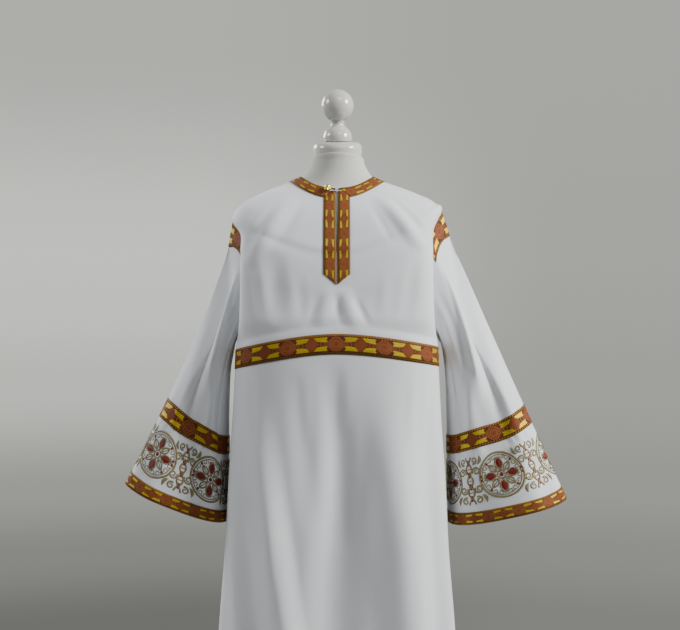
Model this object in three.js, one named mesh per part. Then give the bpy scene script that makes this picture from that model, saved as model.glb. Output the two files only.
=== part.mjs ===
// A sticharion, the long straight vestment of a deacon, on a limbless dress form with a round stand.
// Millimetres, +Z up, the front faces -Y. The origin is the centre of the stand's underside.
import * as THREE from 'three';

// ---------------------------------------------------------------- driving dimensions
const CLOTH_WALL = 1.6;
const RIBBON_WALL = 1.2;
const SEAM_GAP = 0.3;
const NARROW_RIBBON = 25;
const WIDE_RIBBON = 38;
const STRIP_EDGE = 25.5;
const MITRE_DROP = 0.45;
const SHOULDER_RIBBON_START = 4;
// Columns of the sleeve that the shoulder ribbon covers on each side of the top.
const RIBBON_REACH = 5;

const CUFF_DEPTH = 216;
const CUFF_SQUARE = 0.75;
const CUFF_SET_BACK = 4;
const CUFF_SET_BACK_INNER = 55;

const BUTTON_RADIUS = 7.8;
const BUTTON_HEIGHT = 5.2;
const BUTTON_STEM_RADIUS = 2.4;
const BUTTON_STEM = 3.2;
const BUTTON_X = -17.6;
const BUTTON_DOWN_COLLAR = 0.2;
const LOOP_CORD = 1.4;

const NECK_TOP_RADIUS = 52;
const NECK_TOP = new THREE.Vector3(1, -8, 1520);
const NECK_LEAN = THREE.MathUtils.degToRad(12);
const CAP_RADIUS = 49;
const CAP_HEIGHT = 35;
const CAP_EDGE = 13;
const FINIAL_BASE_RADIUS = 29;
const FINIAL_WAIST_RADIUS = 13.5;
const FINIAL_WAIST_HEIGHT = 30;
const FINIAL_BALL_RADIUS = 32;
const FINIAL_BALL_HEIGHT = 69;

const POLE_RADIUS = 15;
const POLE_FOOT_RADIUS = 34;
const POLE_FOOT_HEIGHT = 26;
const BASE_RADIUS = 210;
const BASE_HEIGHT = 18;
const BASE_EDGE = 5;

// ---------------------------------------------------------------- tables
const table = (names, rows) =>
  rows.map((row) => Object.fromEntries(row.map((value, i) => [names[i], value])));

// The body, from the neckline down to the hem. One row is one line round the garment. `half` is half its
// width. `edge` is its height at the shoulder seam, armhole or side seam, and `left` and `right` shift it on
// one side, as the garment hangs a little askew. `rise` is how late a line climbs to its edge, `power` squares
// its corners, and `slit` is the half-width of the front opening. For the front and the back apart: `Z` is
// the height in the middle, `Mid` the Y of the widest point, `Depth` how far the middle stands off it, and
// `Tuck` how far the cloth folds back inwards from there to the armhole. `steps` are mesh rows to the next row.
const BODY = table(
  ['at', 'steps', 'half', 'edge', 'left', 'right', 'rise', 'power', 'slit',
    'frontZ', 'frontMid', 'frontDepth', 'frontTuck', 'backZ', 'backMid', 'backDepth', 'backTuck'],
  [
    ['neckline', 1, 73, 1485, 0, 0, 2.3, 1.0, 2.8, 1455, 0, 72, 0, 1494, 0, 62, 0],
    ['collar', 2, 96, 1475, 0, 0, 2.2, 1.0, 2.6, 1433, 0, 85, 0, 1480, 0, 84, 0],
    ['shoulder', 2, 148, 1456, -2, 0, 1.9, 0.85, 2.1, 1392, 0, 106, 0, 1446, 0, 98, 0],
    ['corner', 1, 193, 1432, -5, 2, 1.7, 0.74, 1.2, 1352, 0, 118, 0, 1404, 0, 106, 0],
    ['armTop', 3, 208, 1403, -3, 18, 1.9, 0.68, 0.35, 1328, 0, 124, 0, 1376, 0, 108, 0],
    ['armUpper', 3, 185, 1360, 0, 5, 1.9, 0.62, 0.3, 1300, -58, 70, 12, 1332, 52, 58, 6],
    ['armFront', 3, 185, 1284, 0, 0, 1.9, 0.6, 0.3, 1250, -78, 54, 24, 1262, 70, 42, 14],
    ['armLower', 3, 188, 1204, -2, 0, 1.9, 0.62, 0.4, 1210, -64, 72, 20, 1200, 56, 56, 10],
    ['armpit', 1, 198, 1156, -4, 2, 1.9, 0.66, 0.5, 1188, 0, 138, 0, 1163, 0, 112, 0],
    ['bandTop', 1, 199.5, 1144, -4, 2, 1.9, 0.66, 0.6, 1175, 0, 139.5, 0, 1149, 0, 111, 0],
    ['bandLow', 2, 201, 1106, -4, 2, 1.9, 0.66, 0.8, 1137, 0, 140, 0, 1110, 0, 110, 0],
    ['waist', 2, 206, 1010, 0, 0, 1.9, 0.68, 2, 1034, 0, 139, 0, 1012, 0, 107, 0],
    ['hip', 3, 215, 880, 0, 0, 1.9, 0.7, 4, 894, 0, 141, 0, 880, 0, 111, 0],
    ['thigh', 3, 230, 640, 0, 0, 1.9, 0.72, 6, 646, 0, 150, 0, 640, 0, 128, 0],
    ['shin', 3, 243, 360, 0, 0, 1.9, 0.74, 9, 362, 0, 165, 0, 360, 0, 150, 0],
    ['hem', 0, 255, 80, 0, 0, 1.9, 0.76, 12, 80, 0, 180, 0, 80, 0, 172, 0],
  ],
);
// The folded-back cloth runs this far back for each millimetre that it runs in.
const TUCK_SLOPE = 1.3;

// Folds of the front and back. `run` is the distance from the middle along the cloth, `z` the height, `lift`
// how far a ridge stands out (a trough is negative), `width` half its breadth, and `open` is 1 on a fold
// that runs out through the hem.
const FOLD_COLUMNS = ['run', 'z', 'lowRun', 'lowZ', 'lift', 'width', 'open'];
const FRONT_FOLDS = table(FOLD_COLUMNS, [
  [-12, 1130, -8, 860, -13, 36, 0],
  [50, 1112, -30, 80, -27, 60, 1],
  [94, 1115, 172, 80, 21, 60, 1],
  [-164, 1100, -100, 80, 19, 46, 1],
  [-116, 1080, -46, 80, -12, 40, 1],
  [-214, 1010, -180, 80, -17, 50, 1],
  [178, 1060, 250, 80, -14, 44, 1],
  [-258, 820, -290, 80, 7, 40, 1],
  [244, 820, 300, 80, 8, 40, 1],
  [-10, 1262, -32, 1186, 5, 24, 0],
  [14, 1262, 34, 1180, 5, 24, 0],
  [88, 1440, 164, 1330, 7, 28, 0],
  [-92, 1436, -166, 1300, 7, 30, 0],
  [-118, 1330, -112, 1190, -5, 32, 0],
]);
const BACK_FOLDS = table(FOLD_COLUMNS, [
  [-20, 1380, -34, 80, -15, 50, 1],
  [52, 1200, 64, 80, 15, 52, 1],
  [124, 1150, 150, 80, -17, 50, 1],
  [200, 820, 232, 80, 15, 46, 1],
  [-92, 1120, -116, 80, 17, 52, 1],
  [-158, 1060, -200, 80, -16, 50, 1],
  [-240, 800, -290, 80, 15, 46, 1],
  [-120, 1420, -150, 1230, 5, 34, 0],
  [112, 1420, 146, 1240, 5, 34, 0],
]);

// The two sleeves: where the cuff's outer and inner ends hang, how late the top line swings outwards, and
// the length of the white cuff panel on its outer and inner side.
const SLEEVES = table(
  ['name', 'side', 'outerX', 'outerZ', 'innerX', 'innerZ', 'swing', 'panel', 'panelInner'],
  [
    ['left', -1, 414, 880, 222, 793, 1.35, 114, 113],
    ['right', 1, 450, 850, 226, 790, 1.1, 134, 118],
  ],
);
const UNDERARM_SWING = 0.22;
// How late a sleeve widens to the front and to the back.
const FRONT_SPREAD = 1.8;
const BACK_SPREAD = 1.4;

// Folds along a sleeve: `angle` round it from the top over the front (180 is the underarm), `from` and `to`
// as shares of its length, `lift` as above and `width` as half the breadth in degrees.
const SLEEVE_FOLDS = table(
  ['angle', 'lowAngle', 'from', 'to', 'lift', 'width'],
  [
    [140, 144, 0.12, 1.1, -11, 30],
    [104, 108, 0.1, 1.05, 7, 34],
    [62, 66, 0.2, 1.0, -6, 32],
    [24, 30, 0.35, 1.2, 6, 34],
    [222, 216, 0.15, 1.1, -10, 32],
    [262, 256, 0.1, 1.0, 8, 36],
    [306, 312, 0.25, 1.1, -6, 34],
  ],
);

// The dress form under the cloth, below its shoulders. The columns are those of BODY.
const FORM = table(
  ['half', 'edge', 'left', 'right', 'rise', 'power', 'frontZ', 'frontMid', 'frontDepth', 'frontTuck',
    'backZ', 'backMid', 'backDepth', 'backTuck'],
  [
    [184, 1402, -3, 4, 1.9, 0.78, 1318, 0, 113, 0, 1368, 0, 101, 0],
    [160, 1335, 0, 0, 1.9, 0.86, 1266, 0, 116, 0, 1312, 0, 102, 0],
    [150, 1262, 0, 0, 1.9, 0.9, 1215, 0, 119, 0, 1245, 0, 100, 0],
    [150, 1180, 0, 0, 1.9, 0.9, 1168, 0, 118, 0, 1172, 0, 96, 0],
    [136, 1095, 0, 0, 1.9, 0.9, 1095, 0, 106, 0, 1095, 0, 87, 0],
    [130, 1030, 0, 0, 1.9, 0.9, 1030, 0, 98, 0, 1030, 0, 83, 0],
    [144, 950, 0, 0, 1.9, 0.9, 950, 0, 102, 0, 950, 0, 86, 0],
    [160, 860, 0, 0, 1.9, 0.88, 860, 0, 106, 0, 860, 0, 90, 0],
    [156, 790, 0, 0, 1.9, 0.88, 790, 0, 102, 0, 790, 0, 89, 0],
    [146, 760, 0, 0, 1.9, 0.88, 760, 0, 94, 0, 760, 0, 82, 0],
  ],
);

// ---------------------------------------------------------------- materials
const finish = (colour, roughness, metalness = 0) =>
  new THREE.MeshStandardMaterial({ color: colour, roughness, metalness });
const WHITE_CLOTH = finish(0xf1f2f4, 0.72);
const GALLOON = finish(0xc07a35, 0.45, 0.35);
const BUTTON_GOLD = finish(0xcaa04a, 0.3, 0.9);
const LOOP_WHITE = finish(0xe9e9ec, 0.6);
const FORM_JERSEY = finish(0xe9e9e8, 0.85);
const GLOSS_WHITE = finish(0xf3f3f3, 0.25);

// ---------------------------------------------------------------- curves and sections
// Monotone cubic through a column of values, at a fractional row.
function glide(values, place) {
  const i = Math.min(Math.floor(place), values.length - 2);
  const t = place - i;
  const slope = (k) => values[k + 1] - values[k];
  const tangent = (k) => {
    if (k === 0) return slope(0);
    if (k === values.length - 1) return slope(k - 1);
    const before = slope(k - 1);
    const after = slope(k);
    return before * after <= 0 ? 0 : (2 * before * after) / (before + after);
  };
  const t2 = t * t;
  const t3 = t2 * t;
  return values[i] * (2 * t3 - 3 * t2 + 1) + values[i + 1] * (3 * t2 - 2 * t3)
    + tangent(i) * (t3 - 2 * t2 + t) + tangent(i + 1) * (t3 - t2);
}

function sectionAt(rows, place) {
  const names = Object.keys(rows[0]).filter((name) => name !== 'at' && name !== 'steps');
  return Object.fromEntries(names.map((name) => [name, glide(rows.map((row) => row[name]), place)]));
}

const signedPower = (value, power) => Math.sign(value) * Math.abs(value) ** power;

// Where a half line runs in plan, for t from 0 in the middle over 1 at its widest to 2 at the end of the
// fold-back. side is -1 for the front and 1 for the back.
function planPoint(section, side, t) {
  const part = side < 0 ? 'front' : 'back';
  const angle = (Math.PI / 2) * Math.min(t, 1);
  const foldBack = (Math.PI / 2) * Math.max(t - 1, 0);
  const tuck = section[`${part}Tuck`];
  const depth = section[`${part}Depth`] * signedPower(Math.cos(angle), section.power);
  return new THREE.Vector2(
    section.half * Math.sin(angle) ** section.power - tuck * Math.sin(foldBack),
    section[`${part}Mid`] + side * (depth + SEAM_GAP / 2 - tuck * TUCK_SLOPE * (1 - Math.cos(foldBack))),
  );
}

// A ruler along one half line: its girth, and the place at a distance from the middle.
function measureSection(section, side) {
  const samples = 160;
  const end = section[side < 0 ? 'frontTuck' : 'backTuck'] > 0 ? 2 : 1;
  const lengths = [0];
  let last = planPoint(section, side, 0);
  for (let i = 1; i <= samples; i += 1) {
    const next = planPoint(section, side, (end * i) / samples);
    lengths.push(lengths[i - 1] + next.distanceTo(last));
    last = next;
  }
  const girth = lengths[samples];
  const placeAt = (run) => {
    const i = Math.max(1, lengths.findIndex((length) => length >= Math.min(run, girth) - 1e-9));
    const share = (run - lengths[i - 1]) / (lengths[i] - lengths[i - 1]);
    return (end * (i - 1 + Math.min(share, 1))) / samples;
  };
  return { girth, placeAt };
}

// The cloth's point at a distance from the middle along one line, to the right where it is positive.
function cloth(section, side, run, ruler = measureSection(section, side)) {
  const plan = planPoint(section, side, ruler.placeAt(Math.abs(run)));
  const toEdge = Math.sin((Math.PI / 2) * Math.min(Math.abs(run) / ruler.girth, 1)) ** section.rise;
  const middle = section[side < 0 ? 'frontZ' : 'backZ'];
  const edge = section.edge + (run < 0 ? section.left : section.right);
  return new THREE.Vector3(Math.sign(run) * plan.x, plan.y, middle + (edge - middle) * toEdge);
}

const fade = (t) => t * t * (3 - 2 * t);

// A ridge or trough across a fold: 1 on its line, 0 from `width` away.
const swell = (distance, width) =>
  (Math.abs(distance) < width ? (1 + Math.cos((Math.PI * distance) / width)) / 2 : 0);

function bodyLift(folds, run, z) {
  let lift = 0;
  for (const fold of folds) {
    const t = (fold.z - z) / (fold.z - fold.lowZ);
    if (t <= 0 || (t >= 1 && !fold.open)) continue;
    const along = fold.open ? fade(Math.min(t * 3, 1)) : Math.sin(Math.PI * t);
    const line = fold.run + (fold.lowRun - fold.run) * Math.min(t, 1);
    lift += fold.lift * along * swell(run - line, fold.width);
  }
  return lift;
}

// ---------------------------------------------------------------- grids and sheets
// A grid is rows of points down the cloth, each row running round it, with a normal at every point.
// `closed` grids join their last column to their first.
function withNormals(points, closed) {
  const rowCount = points.length;
  const columnCount = points[0].length;
  const normals = points.map((row, r) => row.map((_, c) => {
    const up = points[Math.max(r - 1, 0)][c];
    const down = points[Math.min(r + 1, rowCount - 1)][c];
    const left = closed ? (c + columnCount - 1) % columnCount : Math.max(c - 1, 0);
    const right = closed ? (c + 1) % columnCount : Math.min(c + 1, columnCount - 1);
    const across = row[right].clone().sub(row[left]);
    return down.clone().sub(up).cross(across).normalize();
  }));
  return { points, normals, closed };
}

const pick = (grid, rows, columns, closed = false) => ({
  points: rows.map((r) => columns.map((c) => grid.points[r][c].clone())),
  normals: rows.map((r) => columns.map((c) => grid.normals[r][c].clone())),
  closed,
});

const beside = (one, other) => ({
  points: one.points.map((row, r) => [...row, ...other.points[r]]),
  normals: one.normals.map((row, r) => [...row, ...other.normals[r]]),
  closed: true,
});

const span = (first, last) => Array.from({ length: last - first + 1 }, (_, i) => first + i);

// The triangles of a cell by its corners: a and b on the upper row, d and c below them.
const CELL = {
  whole: ['adc', 'acb'],
  none: [],
  adc: ['adc'],
  acb: ['acb'],
  bdc: ['bdc'],
  adb: ['adb'],
};

// A closed wall over a grid, between two distances along its normals. cellAt can leave a cell out or halve it.
function sheet(grid, inner, outer, cellAt = () => 'whole') {
  const rowCount = grid.points.length;
  const columnCount = grid.points[0].length;
  const triangles = [];
  for (let r = 0; r < rowCount - 1; r += 1) {
    for (let c = 0; c < columnCount - (grid.closed ? 0 : 1); c += 1) {
      const next = (c + 1) % columnCount;
      const corner = {
        a: r * columnCount + c,
        b: r * columnCount + next,
        c: (r + 1) * columnCount + next,
        d: (r + 1) * columnCount + c,
      };
      CELL[cellAt(r, c)].forEach((letters) => triangles.push([...letters].map((letter) => corner[letter])));
    }
  }
  const place = (index, distance) => {
    const r = Math.floor(index / columnCount);
    const c = index % columnCount;
    return grid.points[r][c].clone().addScaledVector(grid.normals[r][c], distance);
  };
  const edges = new Set();
  triangles.forEach((t) => t.forEach((from, i) => edges.add(`${from},${t[(i + 1) % 3]}`)));
  const corners = [];
  triangles.forEach(([p, q, s]) => {
    corners.push(place(p, outer), place(q, outer), place(s, outer));
    corners.push(place(s, inner), place(q, inner), place(p, inner));
  });
  edges.forEach((edge) => {
    const [from, to] = edge.split(',').map(Number);
    if (edges.has(`${to},${from}`)) return;
    corners.push(place(to, outer), place(from, outer), place(from, inner));
    corners.push(place(to, outer), place(from, inner), place(to, inner));
  });
  return new THREE.BufferGeometry().setFromPoints(corners);
}

const vestment = new THREE.Group();

function add(name, geometry, material) {
  const mesh = new THREE.Mesh(geometry, material);
  mesh.name = name;
  vestment.add(mesh);
  return mesh;
}

const addCloth = (name, grid, cellAt) => add(name, sheet(grid, -CLOTH_WALL, 0, cellAt), WHITE_CLOTH);
const addRibbon = (name, grid, cellAt) =>
  add(name, sheet(grid, SEAM_GAP, SEAM_GAP + RIBBON_WALL, cellAt), GALLOON);

// ---------------------------------------------------------------- body panels
const rowOf = {};
const places = [];
BODY.forEach((row, i) => {
  rowOf[row.at] = places.length;
  const count = Math.max(row.steps, 1);
  for (let k = 0; k < count; k += 1) places.push(i + k / count);
});
const bodySections = places.map((place) => sectionAt(BODY, place));

// Distances from the middle to each column of the front's half: opening edge, strip edge, then even steps.
const FRONT_STEPS = 12;
const BACK_STEPS = 13;
function frontRuns(section, girth) {
  const steps = span(1, FRONT_STEPS).map((i) => STRIP_EDGE + ((girth - STRIP_EDGE) * i) / FRONT_STEPS);
  return [section.slit, STRIP_EDGE, ...steps];
}

function panel(side, folds) {
  const rows = bodySections.map((section) => {
    const ruler = measureSection(section, side);
    const { girth } = ruler;
    const half = side < 0 ? frontRuns(section, girth) : span(1, BACK_STEPS).map((i) => (girth * i) / BACK_STEPS);
    const middle = side < 0 ? [] : [0];
    const runs = [...half.map((run) => -run).reverse(), ...middle, ...half];
    const ordered = side < 0 ? runs : runs.reverse();
    return ordered.map((run) => ({
      run,
      share: run / girth,
      point: cloth(section, side, run, ruler),
    }));
  });
  const smooth = withNormals(rows.map((row) => row.map((item) => item.point)), false);
  const points = rows.map((row, r) => row.map(({ run, point }, c) => {
    const onSeam = c === 0 || c === row.length - 1;
    const lift = onSeam ? 0 : bodyLift(folds, run, point.z);
    return point.clone().addScaledVector(smooth.normals[r][c], lift);
  }));
  const grid = withNormals(points, false);
  grid.normals.forEach((row, r) => {
    if (r > rowOf.armTop && r < rowOf.armpit) return;
    [row[0], row[row.length - 1]].forEach((normal) => normal.setY(0).normalize());
  });
  grid.unfolded = smooth;
  grid.shares = rows.map((row) => row.map((item) => item.share));
  return grid;
}

const front = panel(-1, FRONT_FOLDS);
const back = panel(1, BACK_FOLDS);
const frontColumns = front.points[0].length;
const backColumns = back.points[0].length;
const LEFT_SLIT = frontColumns / 2 - 1;
const RIGHT_SLIT = frontColumns / 2;

addCloth('front', front, (r, c) => (c === LEFT_SLIT && r < rowOf.armTop ? 'none' : 'whole'));
addCloth('back', back);

// ---------------------------------------------------------------- collar, placket and chest band
// A ribbon all round the body over some rows: every column of the front, and the back's without its seams.
const allRound = (rows) => beside(
  pick(front, rows, span(0, frontColumns - 1)),
  pick(back, rows, span(1, backColumns - 2)),
);

addRibbon('collar_ribbon', allRound([rowOf.neckline, rowOf.collar]), (r, c) => {
  if (c === LEFT_SLIT) return 'none';
  if (c === LEFT_SLIT - 1) return 'adb';
  return c === RIGHT_SLIT ? 'acb' : 'whole';
});
addRibbon('chest_band', allRound([rowOf.bandTop, rowOf.bandLow]));

// The strips along the opening meet the collar on a mitre, and end in a point under the opening.
const stripEnd = rowOf.armUpper + 2;
const stripRows = span(rowOf.neckline, stripEnd);
function addStrip(name, columns, slitColumn, mitre, tip) {
  const grid = pick(front, stripRows, columns);
  grid.points[0][slitColumn].z -= MITRE_DROP;
  grid.points[1][1 - slitColumn].z -= MITRE_DROP;
  addRibbon(name, grid, (r) => {
    if (r === 0) return mitre;
    return r === stripRows.length - 2 ? tip : 'whole';
  });
}
addStrip('placket_strip_left', [LEFT_SLIT - 1, LEFT_SLIT], 1, 'bdc', 'acb');
addStrip('placket_strip_right', [RIGHT_SLIT, RIGHT_SLIT + 1], 0, 'adc', 'adb');

// ---------------------------------------------------------------- button and loop
// A point of the collar's front and the direction out of it, for a distance down the collar and across it.
function collarFrame(across, down) {
  const at = (run, place) => cloth(sectionAt(BODY, place), -1, run);
  const point = at(across, down);
  const round = at(across + 1, down).sub(at(across - 1, down));
  const below = at(across, down + 0.1).sub(point);
  return { point, out: below.cross(round).normalize() };
}

const onRibbon = SEAM_GAP + RIBBON_WALL + SEAM_GAP;
const seat = collarFrame(BUTTON_X, BUTTON_DOWN_COLLAR);
const domeSteps = 6;
const buttonProfile = [
  new THREE.Vector2(0, 0),
  new THREE.Vector2(BUTTON_STEM_RADIUS, 0),
  new THREE.Vector2(BUTTON_STEM_RADIUS, BUTTON_STEM),
  ...span(0, domeSteps).map((i) => {
    const angle = (Math.PI / 2) * (i / domeSteps);
    const radius = i === domeSteps ? 0 : BUTTON_RADIUS * Math.cos(angle);
    return new THREE.Vector2(radius, BUTTON_STEM + BUTTON_HEIGHT * Math.sin(angle));
  }),
];
const button = add('button', new THREE.LatheGeometry(buttonProfile, 16), BUTTON_GOLD);
button.quaternion.setFromUnitVectors(new THREE.Vector3(0, 1, 0), seat.out);
button.position.copy(seat.point).addScaledVector(seat.out, onRibbon);

// The loop leaves the right edge, goes round the button's stem and comes back. Its places are distances
// across the collar and down from the button's own line.
const LOOP_END = 7;
const loopBend = BUTTON_STEM_RADIUS + LOOP_CORD / 2 + 2 * SEAM_GAP;
const loopArc = span(0, 6).map((i) => {
  const angle = Math.PI / 2 + (Math.PI * i) / 6;
  return [BUTTON_X + loopBend * Math.cos(angle), loopBend * Math.sin(angle)];
});
const loopRun = (down) => [LOOP_END, -4, -10].map((across) => [across, down]);
const loopPlaces = [...loopRun(loopBend), ...loopArc, ...loopRun(-loopBend).reverse()];
const loopPoints = loopPlaces.map(([across, below]) => {
  const { point, out } = collarFrame(across, BUTTON_DOWN_COLLAR + below / NARROW_RIBBON);
  return point.addScaledVector(out, onRibbon + LOOP_CORD / 2);
});
const cordSection = new THREE.Shape();
cordSection.absarc(0, 0, LOOP_CORD / 2, 0, Math.PI * 2);
add('button_loop', new THREE.ExtrudeGeometry(cordSection, {
  extrudePath: new THREE.CatmullRomCurve3(loopPoints),
  steps: 32,
  curveSegments: 2,
}), LOOP_WHITE);

// ---------------------------------------------------------------- sleeves and cuffs
// The armhole's points on one side of the body, from its top down the front and up the back.
function armhole(side) {
  const frontEdge = side < 0 ? 0 : frontColumns - 1;
  const backEdge = side < 0 ? backColumns - 1 : 0;
  const rows = span(rowOf.armTop, rowOf.armpit);
  const down = rows.map((r) => front.points[r][frontEdge].clone());
  const up = rows.slice(1, -1).reverse().map((r) => back.points[r][backEdge].clone());
  [down[0], down[down.length - 1]].forEach((point) => point.setY(0));
  return [...down, ...up];
}

function sleeveLift(share, degrees) {
  let lift = 0;
  SLEEVE_FOLDS.forEach((fold) => {
    const t = (share - fold.from) / (fold.to - fold.from);
    if (t <= 0 || t >= 1) return;
    const line = fold.angle + (fold.lowAngle - fold.angle) * t;
    lift += fold.lift * Math.sin(Math.PI * t) ** 0.7 * swell(degrees - line, fold.width);
  });
  return lift;
}

const SLEEVE_STEPS = 7;
function sleeveGrid(sleeve) {
  const ring = armhole(sleeve.side);
  const columns = ring.map((top, j) => {
    const angle = (2 * Math.PI * j) / ring.length;
    const outward = (1 + Math.cos(angle)) / 2;
    const squared = (1 + signedPower(Math.cos(angle), CUFF_SQUARE)) / 2;
    const setBack = CUFF_SET_BACK_INNER + (CUFF_SET_BACK - CUFF_SET_BACK_INNER) * squared;
    const end = new THREE.Vector3(
      sleeve.side * (sleeve.innerX + (sleeve.outerX - sleeve.innerX) * squared),
      setBack - (CUFF_DEPTH / 2) * signedPower(Math.sin(angle), CUFF_SQUARE),
      sleeve.innerZ + (sleeve.outerZ - sleeve.innerZ) * squared,
    );
    const length = top.distanceTo(end);
    const swing = UNDERARM_SWING + (sleeve.swing - UNDERARM_SWING) * outward;
    const panelLength = sleeve.panelInner + (sleeve.panel - sleeve.panelInner) * outward;
    const at = (distance) => {
      const share = Math.max(distance, SEAM_GAP * 1.4) / length;
      return new THREE.Vector3(
        top.x + (end.x - top.x) * share ** swing,
        top.y + (end.y - top.y) * share ** (top.y < 0 ? FRONT_SPREAD : BACK_SPREAD),
        top.z + (end.z - top.z) * share,
      );
    };
    const start = SHOULDER_RIBBON_START + WIDE_RIBBON;
    const cuffTop = length - NARROW_RIBBON - panelLength - WIDE_RIBBON;
    const distances = [
      0,
      SHOULDER_RIBBON_START,
      ...span(0, SLEEVE_STEPS).map((k) => start + ((cuffTop - start) * k) / SLEEVE_STEPS),
      cuffTop + WIDE_RIBBON / 2,
      cuffTop + WIDE_RIBBON,
      length - NARROW_RIBBON - panelLength / 2,
      length - NARROW_RIBBON,
      length,
    ];
    return distances.map((distance) => ({
      point: at(distance),
      share: distance / length,
      degrees: THREE.MathUtils.radToDeg(angle),
    }));
  });
  const ordered = sleeve.side < 0 ? columns : [columns[0], ...columns.slice(1).reverse()];
  const rows = ordered[0].map((_, r) => ordered.map((column) => column[r]));
  const smooth = withNormals(rows.map((row) => row.map((item) => item.point)), true);
  const points = rows.map((row, r) => row.map(({ point, share, degrees }, c) => {
    const lift = sleeveLift(share, degrees);
    return point.clone().addScaledVector(smooth.normals[r][c], lift);
  }));
  return withNormals(points, true);
}

SLEEVES.forEach((sleeve) => {
  const grid = sleeveGrid(sleeve);
  const every = span(0, grid.points[0].length - 1);
  const last = grid.points.length - 1;
  const [ribbonTop, join, panelTop] = [last - 5, last - 4, last - 3];
  const lowerRibbon = last - 1;
  addCloth(`sleeve_${sleeve.name}`, pick(grid, span(0, join), every, true));
  const cuff = pick(grid, span(join, last), every, true);
  cuff.points[0].forEach((point, c) => {
    const down = cuff.points[1][c].clone().sub(point).normalize();
    point.addScaledVector(down, SEAM_GAP);
  });
  addCloth(`cuff_${sleeve.name}`, cuff);
  const overShoulder = [...every.slice(-RIBBON_REACH), ...every.slice(0, RIBBON_REACH + 1)];
  addRibbon(`shoulder_ribbon_${sleeve.name}`, pick(grid, [1, 2], overShoulder));
  addRibbon(`cuff_top_ribbon_${sleeve.name}`, pick(grid, [ribbonTop, join, panelTop], every, true));
  addRibbon(`cuff_edge_ribbon_${sleeve.name}`, pick(grid, [lowerRibbon, last], every, true));
});

// ---------------------------------------------------------------- dress form and stand
// The form's rings keep every second column of the body, so that the cloth lies flat on its shoulders.
const frontRing = [
  ...span(0, LEFT_SLIT - 1).filter((c) => c % 2 === 0),
  LEFT_SLIT,
  RIGHT_SLIT,
  ...span(RIGHT_SLIT + 1, frontColumns - 1).filter((c) => c % 2 === 1),
];
const backRing = span(1, backColumns - 2).filter((c) => c % 2 === 0);

// The cloth rests on the shoulder seams, and stands a little further off towards the middle.
const FORM_SLACK = 1.6;
function shoulderRing(r) {
  const under = (grid, c) => {
    const inset = CLOTH_WALL + SEAM_GAP + FORM_SLACK * (1 - Math.abs(grid.shares[r][c]));
    return grid.unfolded.points[r][c].clone().addScaledVector(grid.unfolded.normals[r][c], -inset);
  };
  return [...frontRing.map((c) => under(front, c)), ...backRing.map((c) => under(back, c))];
}

function formRing(section) {
  const half = (side, grid, columns) => {
    const { girth } = measureSection(section, side);
    return columns.map((c) => cloth(section, side, grid.shares[rowOf.corner][c] * girth));
  };
  return [...half(-1, front, frontRing), ...half(1, back, backRing)];
}

const ringAngles = [
  ...frontRing.map((c) => (Math.PI / 2) * front.shares[rowOf.neckline][c]),
  ...backRing.map((c) => Math.PI - (Math.PI / 2) * back.shares[rowOf.neckline][c]),
];
const neckRing = ringAngles.map((angle) => {
  const flat = new THREE.Vector3(NECK_TOP_RADIUS * Math.sin(angle), -NECK_TOP_RADIUS * Math.cos(angle), 0);
  return flat.applyAxisAngle(new THREE.Vector3(1, 0, 0), NECK_LEAN).add(NECK_TOP);
});

function closedRings(rings) {
  const corners = [];
  const cap = (ring, flip) => {
    const centre = ring.reduce((sum, point) => sum.add(point), new THREE.Vector3()).divideScalar(ring.length);
    ring.forEach((point, i) => {
      const next = ring[(i + 1) % ring.length];
      corners.push(...(flip ? [centre, next, point] : [centre, point, next]));
    });
  };
  cap(rings[0], false);
  rings.slice(0, -1).forEach((upper, r) => {
    const lower = rings[r + 1];
    upper.forEach((point, i) => {
      const next = (i + 1) % upper.length;
      corners.push(point, lower[i], lower[next]);
      corners.push(point, lower[next], upper[next]);
    });
  });
  cap(rings[rings.length - 1], true);
  return new THREE.BufferGeometry().setFromPoints(corners);
}

add('dress_form', closedRings([
  neckRing,
  ...span(rowOf.neckline, rowOf.corner).map(shoulderRing),
  ...FORM.map(formRing),
]), FORM_JERSEY);

// The neck cap and the finial share the neck's leaning axis.
const roundProfile = (points) => new THREE.LatheGeometry(points.map(([r, h]) => new THREE.Vector2(r, h)), 24);
function onNeck(mesh, height) {
  mesh.rotation.x = NECK_LEAN + Math.PI / 2;
  mesh.position.set(0, 0, height).applyAxisAngle(new THREE.Vector3(1, 0, 0), NECK_LEAN).add(NECK_TOP);
}

const capEdge = span(0, 4).map((i) => {
  const angle = (Math.PI / 2) * (i / 4);
  return [CAP_RADIUS - CAP_EDGE * (1 - Math.cos(angle)), CAP_HEIGHT - CAP_EDGE * (1 - Math.sin(angle))];
});
onNeck(add('neck_cap', roundProfile([[0, 0], [CAP_RADIUS, 0], ...capEdge, [0, CAP_HEIGHT]]), GLOSS_WHITE), SEAM_GAP);

const ballLow = Math.asin(FINIAL_WAIST_RADIUS / FINIAL_BALL_RADIUS);
const ball = span(0, 8).map((i) => {
  const angle = Math.PI - ballLow - ((Math.PI - ballLow) * i) / 8;
  const radius = i === 8 ? 0 : FINIAL_BALL_RADIUS * Math.sin(angle);
  return [radius, FINIAL_BALL_HEIGHT + FINIAL_BALL_RADIUS * Math.cos(angle)];
});
const finialFoot = [
  [0, 0],
  [FINIAL_BASE_RADIUS - 2, 0],
  [FINIAL_BASE_RADIUS, 5],
  [FINIAL_BASE_RADIUS - 1, 12],
  [FINIAL_BASE_RADIUS - 5, 20],
  [FINIAL_WAIST_RADIUS + 3, 27],
  [FINIAL_WAIST_RADIUS, FINIAL_WAIST_HEIGHT],
];
onNeck(add('finial', roundProfile([...finialFoot, ...ball]), GLOSS_WHITE), CAP_HEIGHT + 2 * SEAM_GAP);

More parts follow.
